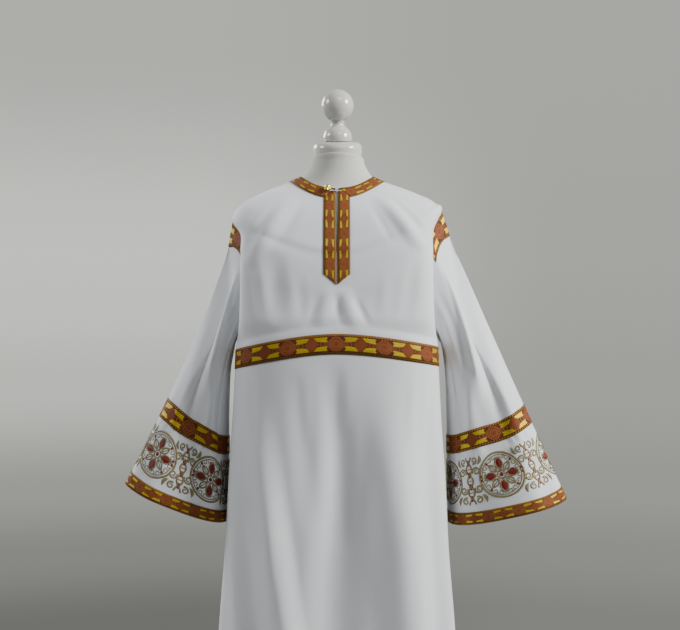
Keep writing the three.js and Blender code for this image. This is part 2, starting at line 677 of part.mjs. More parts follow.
// The round base with the pole's foot on it, and the pole up to the form.
const formBottom = FORM[FORM.length - 1].edge;
const stand = (name, profile, height) => {
  const mesh = add(name, roundProfile(profile), GLOSS_WHITE);
  mesh.rotation.x = Math.PI / 2;
  mesh.position.z = height;
};
stand('stand_base', [
  [0, 0],
  [BASE_RADIUS, 0],
  [BASE_RADIUS, BASE_HEIGHT - BASE_EDGE],
  [BASE_RADIUS - BASE_EDGE, BASE_HEIGHT],
  [POLE_FOOT_RADIUS, BASE_HEIGHT],
  [POLE_RADIUS + 4, BASE_HEIGHT + POLE_FOOT_HEIGHT],
  [0, BASE_HEIGHT + POLE_FOOT_HEIGHT],
], 0);
const poleFoot = BASE_HEIGHT + POLE_FOOT_HEIGHT + SEAM_GAP;
const poleLength = formBottom - SEAM_GAP - poleFoot;
stand('stand_pole', [[0, 0], [POLE_RADIUS, 0], [POLE_RADIUS, poleLength], [0, poleLength]], poleFoot);

export default vestment;
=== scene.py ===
# A white sticharion trimmed with galloon, worn by a limbless dress form on a round stand.
# Metres, +Z up, the front faces -Y. The cloth's sections are in millimetres and scaled as meshes are made.
import math

import bmesh
import bpy
import numpy as np
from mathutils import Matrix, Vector


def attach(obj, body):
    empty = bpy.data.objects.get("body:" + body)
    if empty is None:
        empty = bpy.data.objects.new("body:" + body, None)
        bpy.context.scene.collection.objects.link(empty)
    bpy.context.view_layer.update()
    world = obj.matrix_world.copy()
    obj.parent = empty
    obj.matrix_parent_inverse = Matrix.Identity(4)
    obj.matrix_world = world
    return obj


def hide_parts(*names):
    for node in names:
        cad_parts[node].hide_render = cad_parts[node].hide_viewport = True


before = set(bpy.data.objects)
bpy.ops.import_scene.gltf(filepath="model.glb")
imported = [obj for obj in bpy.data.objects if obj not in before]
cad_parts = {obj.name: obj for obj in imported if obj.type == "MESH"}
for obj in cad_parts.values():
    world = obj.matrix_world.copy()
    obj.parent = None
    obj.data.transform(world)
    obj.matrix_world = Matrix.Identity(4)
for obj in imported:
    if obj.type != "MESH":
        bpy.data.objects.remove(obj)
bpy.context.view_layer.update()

MM = 0.001

# ---------------------------------------------------------------- camera
camera_data = bpy.data.cameras.new("camera")
camera_data.sensor_fit = "HORIZONTAL"
camera_data.sensor_width = 36.0
camera_data.lens = 52.94
camera = bpy.data.objects.new("camera", camera_data)
camera.location = (0.006, -2.0, 1.210)
camera.rotation_euler = (math.radians(90), 0, 0)
camera_data.clip_end = 40
bpy.context.scene.collection.objects.link(camera)
bpy.context.scene.camera = camera

# ---------------------------------------------------------------- the garment's tables, in millimetres
GAP = 0.3
STRIP_EDGE = 25.5
NARROW = 25
WIDE = 38
TUCK_SLOPE = 1.3

BODY_COLUMNS = (
    "at cells half edge left right rise power slit "
    "frontZ frontMid frontDepth frontTuck backZ backMid backDepth backTuck"
).split()
BODY = [
    ("neckline", 5, 73, 1485, 0, 0, 2.3, 1.0, 2.8, 1455, 0, 72, 0, 1494, 0, 62, 0),
    ("collar", 8, 96, 1475, 0, 0, 2.2, 1.0, 2.6, 1433, 0, 85, 0, 1480, 0, 84, 0),
    ("shoulder", 8, 148, 1456, -2, 0, 1.9, 0.85, 2.1, 1392, 0, 106, 0, 1446, 0, 98, 0),
    ("corner", 6, 193, 1432, -5, 2, 1.7, 0.74, 1.2, 1352, 0, 118, 0, 1404, 0, 106, 0),
    ("armTop", 9, 208, 1403, -3, 18, 1.9, 0.68, 0.35, 1328, 0, 124, 0, 1376, 0, 108, 0),
    ("armUpper", 15, 185, 1360, 0, 5, 1.9, 0.62, 0.3, 1300, -58, 70, 12, 1332, 52, 58, 6),
    ("armFront", 12, 185, 1284, 0, 0, 1.9, 0.6, 0.3, 1250, -78, 54, 24, 1262, 70, 42, 14),
    ("armLower", 9, 188, 1204, -2, 0, 1.9, 0.62, 0.4, 1210, -64, 72, 20, 1200, 56, 56, 10),
    ("armpit", 3, 198, 1156, -4, 2, 1.9, 0.66, 0.5, 1188, 0, 138, 0, 1163, 0, 112, 0),
    ("bandTop", 6, 199.5, 1144, -4, 2, 1.9, 0.66, 0.6, 1175, 0, 139.5, 0, 1149, 0, 111, 0),
    ("bandLow", 15, 201, 1106, -4, 2, 1.9, 0.66, 0.8, 1137, 0, 140, 0, 1110, 0, 110, 0),
    ("waist", 18, 206, 1010, 0, 0, 1.9, 0.68, 2, 1034, 0, 139, 0, 1012, 0, 107, 0),
    ("hip", 26, 215, 880, 0, 0, 1.9, 0.7, 4, 894, 0, 141, 0, 880, 0, 111, 0),
    ("thigh", 24, 225, 640, 0, 0, 1.9, 0.72, 6, 646, 0, 150, 0, 640, 0, 128, 0),
    ("shin", 22, 239, 360, 0, 0, 1.9, 0.74, 9, 362, 0, 165, 0, 360, 0, 150, 0),
    ("hem", 0, 255, 80, 0, 0, 1.9, 0.76, 12, 80, 0, 180, 0, 80, 0, 172, 0),
]
PLACE = {row[0]: i for i, row in enumerate(BODY)}

# Folds of a body panel: run from the middle and height at the top and at the foot, how far the ridge
# stands out (a trough is negative), half its breadth, and 1 on a fold that runs out through the hem.
FRONT_FOLDS = [
    (-6, 1130, 10, 760, -9, 44, 0),
    (40, 1112, -40, 80, -19, 76, 1),
    (100, 1115, 176, 80, 29, 72, 1),
    (-166, 1100, -16, 80, 18, 44, 1),
    (-64, 1100, -44, 800, -5, 40, 0),
    (-222, 1010, -84, 80, -15, 44, 1),
    (178, 1060, 250, 80, -14, 44, 1),
    (-258, 820, -290, 80, 7, 40, 1),
    (244, 820, 300, 80, 8, 40, 1),
    (-10, 1262, -32, 1186, 5, 24, 0),
    (14, 1262, 34, 1180, 5, 24, 0),
    (88, 1440, 164, 1330, 7, 28, 0),
    (-92, 1436, -166, 1300, 7, 30, 0),
    (-118, 1330, -112, 1190, -5, 32, 0),
]
BACK_FOLDS = [
    (-20, 1380, -34, 80, -15, 50, 1),
    (52, 1200, 64, 80, 15, 52, 1),
    (124, 1150, 150, 80, -17, 50, 1),
    (200, 820, 232, 80, 15, 46, 1),
    (-92, 1120, -116, 80, 17, 52, 1),
    (-158, 1060, -200, 80, -16, 50, 1),
    (-240, 800, -290, 80, 15, 46, 1),
    (-120, 1420, -150, 1230, 5, 34, 0),
    (112, 1420, 146, 1240, 5, 34, 0),
]
# Small soft creases: the same columns without the last.
FRONT_CREASES = [
    (-28, 1246, -58, 1190, -1.6, 12),
    (30, 1248, 62, 1186, -1.8, 13),
    (3, 1250, 6, 1188, -1.8, 11),
    (-70, 1290, -64, 1190, -1.2, 16),
    (92, 1300, 84, 1192, 1.1, 18),
    (150, 1330, 128, 1186, -1.6, 20),
    (-160, 1310, -140, 1180, -1.5, 20),
    (62, 1428, 108, 1340, -1.6, 14),
    (-64, 1426, -112, 1338, -1.6, 15),
    (120, 1434, 176, 1372, 1.4, 16),
    (-126, 1430, -178, 1360, 1.4, 17),
    (-176, 1120, -150, 960, -1.8, 18),
    (150, 1112, 136, 950, 1.6, 18),
    (20, 1120, 14, 980, 1.8, 20),
    (-60, 1110, -52, 950, 1.5, 18),
    (196, 1100, 176, 930, -1.8, 18),
    (-120, 900, -132, 560, 1.8, 22),
    (150, 840, 160, 500, 1.9, 22),
]
BACK_CREASES = [
    (-60, 1450, -110, 1340, -1.6, 16),
    (58, 1452, 108, 1336, -1.6, 16),
    (0, 1470, 6, 1340, -1.2, 20),
    (130, 1340, 110, 1180, -1.5, 20),
    (-136, 1330, -112, 1180, -1.5, 20),
    (30, 1110, 24, 900, 1.8, 20),
    (-140, 1100, -120, 920, 1.7, 20),
    (160, 1080, 150, 880, -1.6, 20),
]

# The sleeves: side, where the cuff's outer and inner ends hang, how late the top line swings out, and the
# white cuff panel's length on the outer and inner side.
SLEEVES = [
    ("left", -1, 414, 880, 222, 793, 1.35, 114, 113),
    ("right", 1, 450, 850, 226, 790, 1.1, 134, 118),
]
UNDERARM_SWING = 0.22
FRONT_SPREAD = 1.8
BACK_SPREAD = 1.4
CUFF_DEPTH = 216
CUFF_SQUARE = 0.75
CUFF_SET_BACK = 4
CUFF_SET_BACK_INNER = 55
RIBBON_START = 4
RIBBON_REACH = 3.5
RING = 24

# Folds along a sleeve: the angle round it at both ends, the shares of its length, lift and half breadth.
SLEEVE_FOLDS = [
    (16, 96, 0.06, 0.88, -15, 34),
    (10, 120, 0.04, 0.62, 8, 24),
    (128, 134, 0.06, 0.74, -11, 30),
    (4, 22, 0.15, 1.15, 7, 28),
    (52, 44, 0.62, 1.2, -5, 28),
    (222, 216, 0.15, 1.1, -10, 32),
    (262, 256, 0.1, 1.0, 8, 36),
    (306, 312, 0.25, 1.1, -6, 34),
]
SLEEVE_CREASES = [
    (84, 92, 0.08, 0.7, -1.8, 12),
    (122, 126, 0.15, 0.8, 1.8, 12),
    (44, 52, 0.1, 0.6, 1.4, 14),
    (12, 16, 0.2, 0.75, -1.2, 12),
    (285, 280, 0.1, 0.7, -1.6, 14),
    (240, 236, 0.2, 0.8, 1.6, 12),
    (330, 334, 0.15, 0.7, 1.2, 14),
]

FORM_COLUMNS = (
    "half edge left right rise power frontZ frontMid frontDepth frontTuck backZ backMid backDepth backTuck"
).split()
FORM = [
    (184, 1402, -3, 4, 1.9, 0.78, 1318, 0, 113, 0, 1368, 0, 101, 0),
    (160, 1335, 0, 0, 1.9, 0.86, 1266, 0, 116, 0, 1312, 0, 102, 0),
    (150, 1262, 0, 0, 1.9, 0.9, 1215, 0, 119, 0, 1245, 0, 100, 0),
    (150, 1180, 0, 0, 1.9, 0.9, 1168, 0, 118, 0, 1172, 0, 96, 0),
    (136, 1095, 0, 0, 1.9, 0.9, 1095, 0, 106, 0, 1095, 0, 87, 0),
    (130, 1030, 0, 0, 1.9, 0.9, 1030, 0, 98, 0, 1030, 0, 83, 0),
    (144, 950, 0, 0, 1.9, 0.9, 950, 0, 102, 0, 950, 0, 86, 0),
    (160, 860, 0, 0, 1.9, 0.88, 860, 0, 106, 0, 860, 0, 90, 0),
    (156, 790, 0, 0, 1.9, 0.88, 790, 0, 102, 0, 790, 0, 89, 0),
    (146, 760, 0, 0, 1.9, 0.88, 760, 0, 94, 0, 760, 0, 82, 0),
]


# ---------------------------------------------------------------- curves and sections
def glide(values, place):
    """Monotone cubic through a column of values at fractional rows."""
    values = np.asarray(values, float)
    slope = np.diff(values)
    tangent = np.empty_like(values)
    tangent[0], tangent[-1] = slope[0], slope[-1]
    product = slope[:-1] * slope[1:]
    total = np.where(product > 0, slope[:-1] + slope[1:], 1)
    tangent[1:-1] = np.where(product > 0, 2 * product / total, 0)
    i = min(int(place), len(values) - 2)
    t = place - i
    return (
        values[i] * (2 * t**3 - 3 * t**2 + 1)
        + values[i + 1] * (3 * t**2 - 2 * t**3)
        + tangent[i] * (t**3 - 2 * t**2 + t)
        + tangent[i + 1] * (t**3 - t**2)
    )


def body_section(place):
    return {
        name: glide([row[k] for row in BODY], place)
        for k, name in enumerate(BODY_COLUMNS)
        if name not in ("at", "cells")
    }


def plan_points(section, side, t):
    """A half line in plan, for t from 0 in the middle over 1 at its widest to 2 at the fold-back's end."""
    part = "front" if side < 0 else "back"
    angle = math.pi / 2 * np.minimum(t, 1)
    fold_back = math.pi / 2 * np.maximum(t - 1, 0)
    tuck = section[part + "Tuck"]
    depth = section[part + "Depth"] * np.maximum(np.cos(angle), 0) ** section["power"]
    x = section["half"] * np.sin(angle) ** section["power"] - tuck * np.sin(fold_back)
    y = section[part + "Mid"] + side * (depth + GAP / 2 - tuck * TUCK_SLOPE * (1 - np.cos(fold_back)))
    return x, y


class Line:
    """One line of a body panel, measured along the cloth from the middle."""

    def __init__(self, section, side):
        self.section, self.side = section, side
        end = 2 if section["frontTuck" if side < 0 else "backTuck"] > 0 else 1
        self.t = np.linspace(0, end, 641)
        x, y = plan_points(section, side, self.t)
        self.lengths = np.concatenate([[0], np.cumsum(np.hypot(np.diff(x), np.diff(y)))])
        self.girth = self.lengths[-1]

    def points(self, runs):
        x, y = plan_points(self.section, self.side, np.interp(np.abs(runs), self.lengths, self.t))
        climb = np.sin(math.pi / 2 * np.minimum(np.abs(runs) / self.girth, 1)) ** self.section["rise"]
        middle = self.section["frontZ" if self.side < 0 else "backZ"]
        edge = self.section["edge"] + np.where(runs < 0, self.section["left"], self.section["right"])
        return np.stack([np.sign(runs) * x, y, middle + (edge - middle) * climb], axis=-1)


def fade(t):
    t = np.clip(t, 0, 1)
    return t * t * (3 - 2 * t)


def swell(distance, width):
    return np.where(np.abs(distance) < width, (1 + np.cos(math.pi * distance / width)) / 2, 0)


def body_lift(folds, run, z):
    lift = np.zeros_like(run)
    for at, top, low_at, low, height, width, is_open in folds:
        t = (top - z) / (top - low)
        if is_open:
            along = fade(t * 3)
        else:
            along = np.where((t > 0) & (t < 1), np.sin(math.pi * np.clip(t, 0, 1)), 0)
        line = at + (low_at - at) * np.clip(t, 0, 1)
        lift += height * along * swell(run - line, width)
    return lift


# ---------------------------------------------------------------- grids
def normals_of(points, closed):
    down = np.empty_like(points)
    down[1:-1] = points[2:] - points[:-2]
    down[0], down[-1] = points[1] - points[0], points[-1] - points[-2]
    across = np.empty_like(points)
    if closed:
        across = np.roll(points, -1, 1) - np.roll(points, 1, 1)
    else:
        across[:, 1:-1] = points[:, 2:] - points[:, :-2]
        across[:, 0], across[:, -1] = points[:, 1] - points[:, 0], points[:, -1] - points[:, -2]
    normals = np.cross(down, across)
    return normals / np.maximum(np.linalg.norm(normals, axis=-1, keepdims=True), 1e-9)


class Grid:
    """Points in rows down the cloth, each row round it, with outward normals and flat coordinates."""

    def __init__(self, points, flat, closed):
        self.points, self.flat, self.closed = points, flat, closed
        self.normals = normals_of(points, closed)

    def pick(self, rows, columns=None, closed=None):
        columns = list(range(self.points.shape[1])) if columns is None else columns
        part = object.__new__(Grid)
        part.points = self.points[np.ix_(rows, columns)]
        part.normals = self.normals[np.ix_(rows, columns)]
        part.flat = self.flat[np.ix_(rows, columns)]
        part.closed = self.closed if closed is None else closed
        return part


def measured(points, start=0.0):
    """Flat coordinates along the rows and down the columns, in millimetres."""
    across = np.linalg.norm(np.diff(points, axis=1), axis=-1)
    across = np.concatenate([np.zeros((len(points), 1)), np.cumsum(across, 1)], 1)
    down = np.linalg.norm(np.diff(points, axis=0), axis=-1).mean(1)
    down = start + np.concatenate([[0], np.cumsum(down)])
    return np.stack([across, np.repeat(down[:, None], points.shape[1], 1)], -1)


body_places = []
body_row = {}
for index, row in enumerate(BODY):
    body_row[row[0]] = len(body_places)
    body_places += [index + k / max(row[1], 1) for k in range(max(row[1], 1))]
body_sections = [body_section(place) for place in body_places]

STRIP_CELLS = 5
FRONT_CELLS = 62
BACK_CELLS = 60


def body_panel(side, folds, creases):
    rows = []
    for section in body_sections:
        line = Line(section, side)
        if side < 0:
            strip = np.linspace(section["slit"], STRIP_EDGE, STRIP_CELLS + 1)
            half = np.concatenate([strip, np.linspace(STRIP_EDGE, line.girth, FRONT_CELLS + 1)[1:]])
            runs = np.concatenate([-half[::-1], half])
        else:
            half = np.linspace(0, line.girth, BACK_CELLS + 1)
            runs = np.concatenate([half[::-1], -half[1:]])
        rows.append((line, runs))
    bare = np.array([line.points(runs) for line, runs in rows])
    runs = np.array([runs for _, runs in rows])
    share = np.abs(runs) / np.array([[line.girth] for line, _ in rows])
    outward = normals_of(bare, False)
    lift = body_lift(folds, runs, bare[..., 2])
    lift += body_lift([crease + (0,) for crease in creases], runs, bare[..., 2])
    lift *= fade((1 - share) * 8)
    points = bare + outward * lift[..., None]
    flat = measured(points)
    flat[..., 0] = runs
    grid = Grid(points, flat, False)
    seam = np.array([not body_row["armTop"] < r < body_row["armpit"] for r in range(len(points))])
    for c in (0, -1):
        grid.normals[seam, c, 1] = 0
        grid.normals[:, c] /= np.linalg.norm(grid.normals[:, c], axis=-1, keepdims=True)
    grid.bare, grid.share = bare, share
    return grid


front = body_panel(-1, FRONT_FOLDS, FRONT_CREASES)
back = body_panel(1, BACK_FOLDS, BACK_CREASES)
FRONT_COUNT = front.points.shape[1]
BACK_COUNT = back.points.shape[1]
LEFT_SLIT = FRONT_COUNT // 2 - 1
RIGHT_SLIT = FRONT_COUNT // 2


SLEEVE_CELLS = 144
SLEEVE_ROUND = 118
HANG_START = 0.12


# Cells between the marks down a sleeve: its seam, the shoulder ribbon, the upper cuff ribbon with the seam
# of the cuff in its middle, the cuff's panel and the ribbon on its edge.
SLEEVE_STEPS = [1, 8, 66, 4, 4, 22, 5]
sleeve_rows = np.cumsum(SLEEVE_STEPS).tolist()
ROW_RIBBON, ROW_BELOW_RIBBON, ROW_CUFF_TOP, ROW_JOIN, ROW_PANEL, ROW_EDGE, ROW_LAST = sleeve_rows


def sleeve_grid(side, outer_x, outer_z, inner_x, inner_z, top_swing, panel_outer, panel_inner):
    ring = RING * np.arange(SLEEVE_CELLS) / SLEEVE_CELLS
    top = []
    for j in ring:
        part = -1 if j <= RING / 2 else 1
        place = PLACE["armTop"] + min(j, RING - j) / 3
        line = Line(body_section(place), part)
        point = line.points(np.array([side * line.girth]))[0]
        top.append([point[0], 0 if j in (0, RING / 2) else point[1], point[2]])
    top = np.array(top)
    angle = 2 * math.pi * ring / RING
    outward = (1 + np.cos(angle)) / 2
    across, depth = (np.sign(k) * np.abs(k) ** CUFF_SQUARE for k in (np.cos(angle), np.sin(angle)))
    squared = (1 + across) / 2
    end = np.stack([
        side * (inner_x + (outer_x - inner_x) * squared),
        CUFF_SET_BACK_INNER + (CUFF_SET_BACK - CUFF_SET_BACK_INNER) * squared - CUFF_DEPTH / 2 * depth,
        inner_z + (outer_z - inner_z) * squared,
    ], -1)
    length = np.linalg.norm(end - top, axis=1)
    swing = UNDERARM_SWING + (top_swing - UNDERARM_SWING) * outward
    spread = np.where(top[:, 1] < 0, FRONT_SPREAD, BACK_SPREAD)
    panel = panel_inner + (panel_outer - panel_inner) * outward
    cuff_top = length - NARROW - panel - WIDE
    seam = np.roll(top, -1, 0) - np.roll(top, 1, 0)
    hang = (end - top) * np.stack([HANG_START**swing, HANG_START**spread, HANG_START + 0 * swing], -1)
    slant = (seam * hang).sum(1) / np.linalg.norm(seam, axis=1) / np.linalg.norm(hang, axis=1)
    slope = np.minimum(1 / np.sqrt(np.maximum(1 - slant**2, 0.01)), 1.75)
    slope = 1 + (slope - 1) * fade((56 - np.degrees(np.arccos(np.cos(angle)))) / 24)
    slope = np.stack([np.roll(slope, k) for k in range(-4, 5)]).mean(0)
    places = [0 * length, RIBBON_START * slope, (RIBBON_START + WIDE) * slope, cuff_top, cuff_top + WIDE / 2,
              cuff_top + WIDE, length - NARROW, length]
    marks = list(zip(places, SLEEVE_STEPS + [0]))
    distances = []
    for (here, cells), (there, _) in zip(marks, marks[1:]):
        distances += [here + (there - here) * k / cells for k in range(cells)]
    distances.append(length)
    rows, shares = [], []
    for distance in distances:
        share = np.maximum(distance, GAP * 1.4) / length
        rows.append(np.stack([
            top[:, 0] + (end[:, 0] - top[:, 0]) * share**swing,
            top[:, 1] + (end[:, 1] - top[:, 1]) * share**spread,
            top[:, 2] + (end[:, 2] - top[:, 2]) * share,
        ], -1))
        shares.append(distance / length)
    bare, share = np.array(rows), np.array(shares)
    degrees = np.degrees(angle)[None, :] * np.ones_like(share)
    lift = np.zeros_like(share)
    for at, low_at, start_share, end_share, height, width in SLEEVE_FOLDS + SLEEVE_CREASES:
        t = (share - start_share) / (end_share - start_share)
        line = at + (low_at - at) * t
        along = np.where((t > 0) & (t < 1), np.sin(math.pi * np.clip(t, 0, 1)) ** 0.7, 0)
        lift += height * along * swell(degrees - line, width)
    below = np.array(distances) - cuff_top - WIDE
    above = length - NARROW - np.array(distances)
    run = angle[None, :] * SLEEVE_ROUND + below * 0.35
    gathers = np.sin(run / 5.3) + 0.8 * np.sin(run / 3.7 + 1) + 0.6 * np.sin(run / 9.1 + 2)
    near = fade(below / 3) * fade(1 - below / 20)
    near += 0.6 * fade(above / 3) * fade(1 - above / 12) * (below > 0)
    lift += 0.8 * gathers * near
    if side > 0:
        order = [0] + list(range(SLEEVE_CELLS - 1, 0, -1))
        bare, lift = bare[:, order], lift[:, order]
    points = bare + normals_of(bare, True) * lift[..., None]
    return Grid(points, measured(points), True)


sleeves = {name: sleeve_grid(*row) for name, *row in SLEEVES}


# ---------------------------------------------------------------- meshes
CELL = {"whole": ["adcb"], "none": [], "adc": ["adc"], "acb": ["acb"], "bdc": ["bdc"], "adb": ["adb"]}


def finish_piece(obj, material, replaced):
    obj.data.materials.append(material)
    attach(obj, "root")
    if replaced:
        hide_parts(*replaced)
    return obj


def mesh_object(name, vertices, faces):
    mesh = bpy.data.meshes.new(name)
    mesh.from_pydata([tuple(v) for v in vertices], [], faces)
    mesh.polygons.foreach_set("use_smooth", [True] * len(faces))
    obj = bpy.data.objects.new(name, mesh)
    bpy.context.scene.collection.objects.link(obj)
    return obj


def sheet(name, grid, lift, wall, cell_at=None):
    """A cloth wall over a grid: its outer side stands off by `lift`, and the wall goes inwards from there."""
    rows, columns = grid.points.shape[:2]
    points = (grid.points + grid.normals * lift) * MM
    faces, flat = [], []
    for r in range(rows - 1):
        for c in range(columns - (0 if grid.closed else 1)):
            n = (c + 1) % columns
            corner = {"a": (r, c), "b": (r, n), "c": (r + 1, n), "d": (r + 1, c)}
            for letters in CELL[cell_at(r, c) if cell_at else "whole"]:
                faces.append([corner[k][0] * columns + corner[k][1] for k in letters])
                for k in letters:
                    u, v = grid.flat[corner[k]]
                    if n == 0 and k in "bc":
                        row = grid.flat[corner[k][0]]
                        wrap = grid.points[corner[k][0], -1] - grid.points[corner[k][0], 0]
                        u = row[-1, 0] + np.linalg.norm(wrap)
                    flat += [u * MM, v * MM]
    obj = mesh_object(name, points.reshape(-1, 3), faces)
    layer = obj.data.uv_layers.new(name="cloth")
    layer.data.foreach_set("uv", np.array(flat, np.float32))
    loose = bmesh.new()
    loose.from_mesh(obj.data)
    bmesh.ops.delete(loose, geom=[v for v in loose.verts if not v.link_faces], context="VERTS")
    loose.to_mesh(obj.data)
    loose.free()
    thick = obj.modifiers.new("wall", "SOLIDIFY")
    thick.thickness = wall * MM
    thick.offset = -1
    return obj


def beside(one, other):
    both = object.__new__(Grid)
    both.points = np.concatenate([one.points, other.points], 1)
    both.normals = np.concatenate([one.normals, other.normals], 1)
    both.flat = measured(both.points)
    both.closed = True
    return both


def centre_repeat(grid, x):
    """Slides a ribbon's flat lengths so that a repeat is centred on the front at this X."""
    row = grid.points[len(grid.points) // 2]
    column = np.argmin(np.abs(row[:, 0] - x) + 1000 * (row[:, 1] > 40))
    grid.flat[..., 0] -= grid.flat[0, column, 0]
    return grid


def across_ribbon(grid, width):
    """Flat coordinates of a ribbon: its length, and 0 to its width from edge to edge."""
    grid.flat = measured(grid.points)
    grid.flat[..., 0] -= grid.flat[:, :1, 0]
    grid.flat[..., 0] = grid.flat[..., 0].mean(0)[None, :]
    grid.flat[..., 1] *= width / grid.flat[-1, 0, 1]
    return grid


# ---------------------------------------------------------------- materials
class Field:
    """A number in a node tree that sums, multiplies and compares by adding Math nodes."""

    def __init__(self, tree, socket):
        self.tree, self.socket = tree, socket

    def run(self, operation, *others):
        node = self.tree.nodes.new("ShaderNodeMath")
        node.operation = operation
        for k, value in enumerate((self,) + others):
            if isinstance(value, Field):
                self.tree.links.new(value.socket, node.inputs[k])
            else:
                node.inputs[k].default_value = value
        return Field(self.tree, node.outputs[0])

    def __add__(self, other):
        return self.run("ADD", other)

    def __sub__(self, other):
        return self.run("SUBTRACT", other)

    def __mul__(self, other):
        return self.run("MULTIPLY", other)

    def __abs__(self):
        return self.run("ABSOLUTE")

    def __lt__(self, other):
        return self.run("LESS_THAN", other)

    def __gt__(self, other):
        return self.run("GREATER_THAN", other)

    def fold(self, period):
        """The distance to the nearest multiple of the period."""
        return self.run("PINGPONG", period / 2)

    def wave(self, period):
        """A wave from 0 to 1."""
        return (self * (2 * math.pi / period)).run("SINE") * 0.5 + 0.5


class Paint:
    """A material made of nodes round one Principled shader."""

    def __init__(self, name, **settings):
        self.material = bpy.data.materials.new(name)
        self.material.use_nodes = True
        self.tree = self.material.node_tree
        self.shader = self.tree.nodes["Principled BSDF"]
        for key, value in settings.items():
            self.shader.inputs[key.replace("_", " ")].default_value = value

    def link(self, socket, value):
        self.tree.links.new(value.socket if isinstance(value, Field) else value, socket)

    def coordinates(self):
        split = self.tree.nodes.new("ShaderNodeSeparateXYZ")
        uv = self.tree.nodes.new("ShaderNodeUVMap")
        uv.uv_map = "cloth"
        self.link(split.inputs[0], uv.outputs[0])
        return Field(self.tree, split.outputs[0]), Field(self.tree, split.outputs[1])

    def noise(self, scale, detail=2.0, flat=False, stretch=(1, 1, 1)):
        node = self.tree.nodes.new("ShaderNodeTexNoise")
        node.inputs["Scale"].default_value = scale
        node.inputs["Detail"].default_value = detail
        mapping = self.tree.nodes.new("ShaderNodeMapping")
        mapping.inputs["Scale"].default_value = stretch
        if flat:
            source = self.tree.nodes.new("ShaderNodeUVMap")
            source.uv_map = "cloth"
            self.link(mapping.inputs[0], source.outputs[0])
        else:
            source = self.tree.nodes.new("ShaderNodeTexCoord")
            self.link(mapping.inputs[0], source.outputs["Object"])
        self.link(node.inputs["Vector"], mapping.outputs[0])
        return Field(self.tree, node.outputs["Fac"])

    def mix(self, amount, one, other):
        node = self.tree.nodes.new("ShaderNodeMix")
        node.data_type = "RGBA"
        self.link(node.inputs["Factor"], amount)
        for socket, value in ((node.inputs[6], one), (node.inputs[7], other)):
            if isinstance(value, tuple):
                socket.default_value = value + (1,)
            else:
                self.link(socket, value)
        return node.outputs[2]

    def bump(self, height, distance, strength=1.0):
        node = self.tree.nodes.new("ShaderNodeBump")
        node.inputs["Strength"].default_value = strength
        node.inputs["Distance"].default_value = distance
        self.link(node.inputs["Height"], height)
        self.link(self.shader.inputs["Normal"], node.outputs[0])


def gabardine(name, colour):
    paint = Paint(name, Sheen_Weight=0.25, Sheen_Roughness=0.45, Specular_IOR_Level=0.3)
    cloudy = paint.noise(7, 3)
    low = tuple(k * 0.965 for k in colour)
    paint.link(paint.shader.inputs["Base Color"], paint.mix(cloudy, colour, low))
    paint.link(paint.shader.inputs["Roughness"], paint.noise(60, 2) * 0.16 + 0.62)
    u, v = paint.coordinates()
    twill = (u + v).wave(0.0011)
    slub = paint.noise(900, 2, True, (1, 0.2, 1))
    paint.bump(twill * 0.7 + slub * 0.5, 0.00012, 0.35)
    return paint.material


CLOTH_WHITE = (0.77, 0.79, 0.815)
WHITE = gabardine("white_gabardine", CLOTH_WHITE)


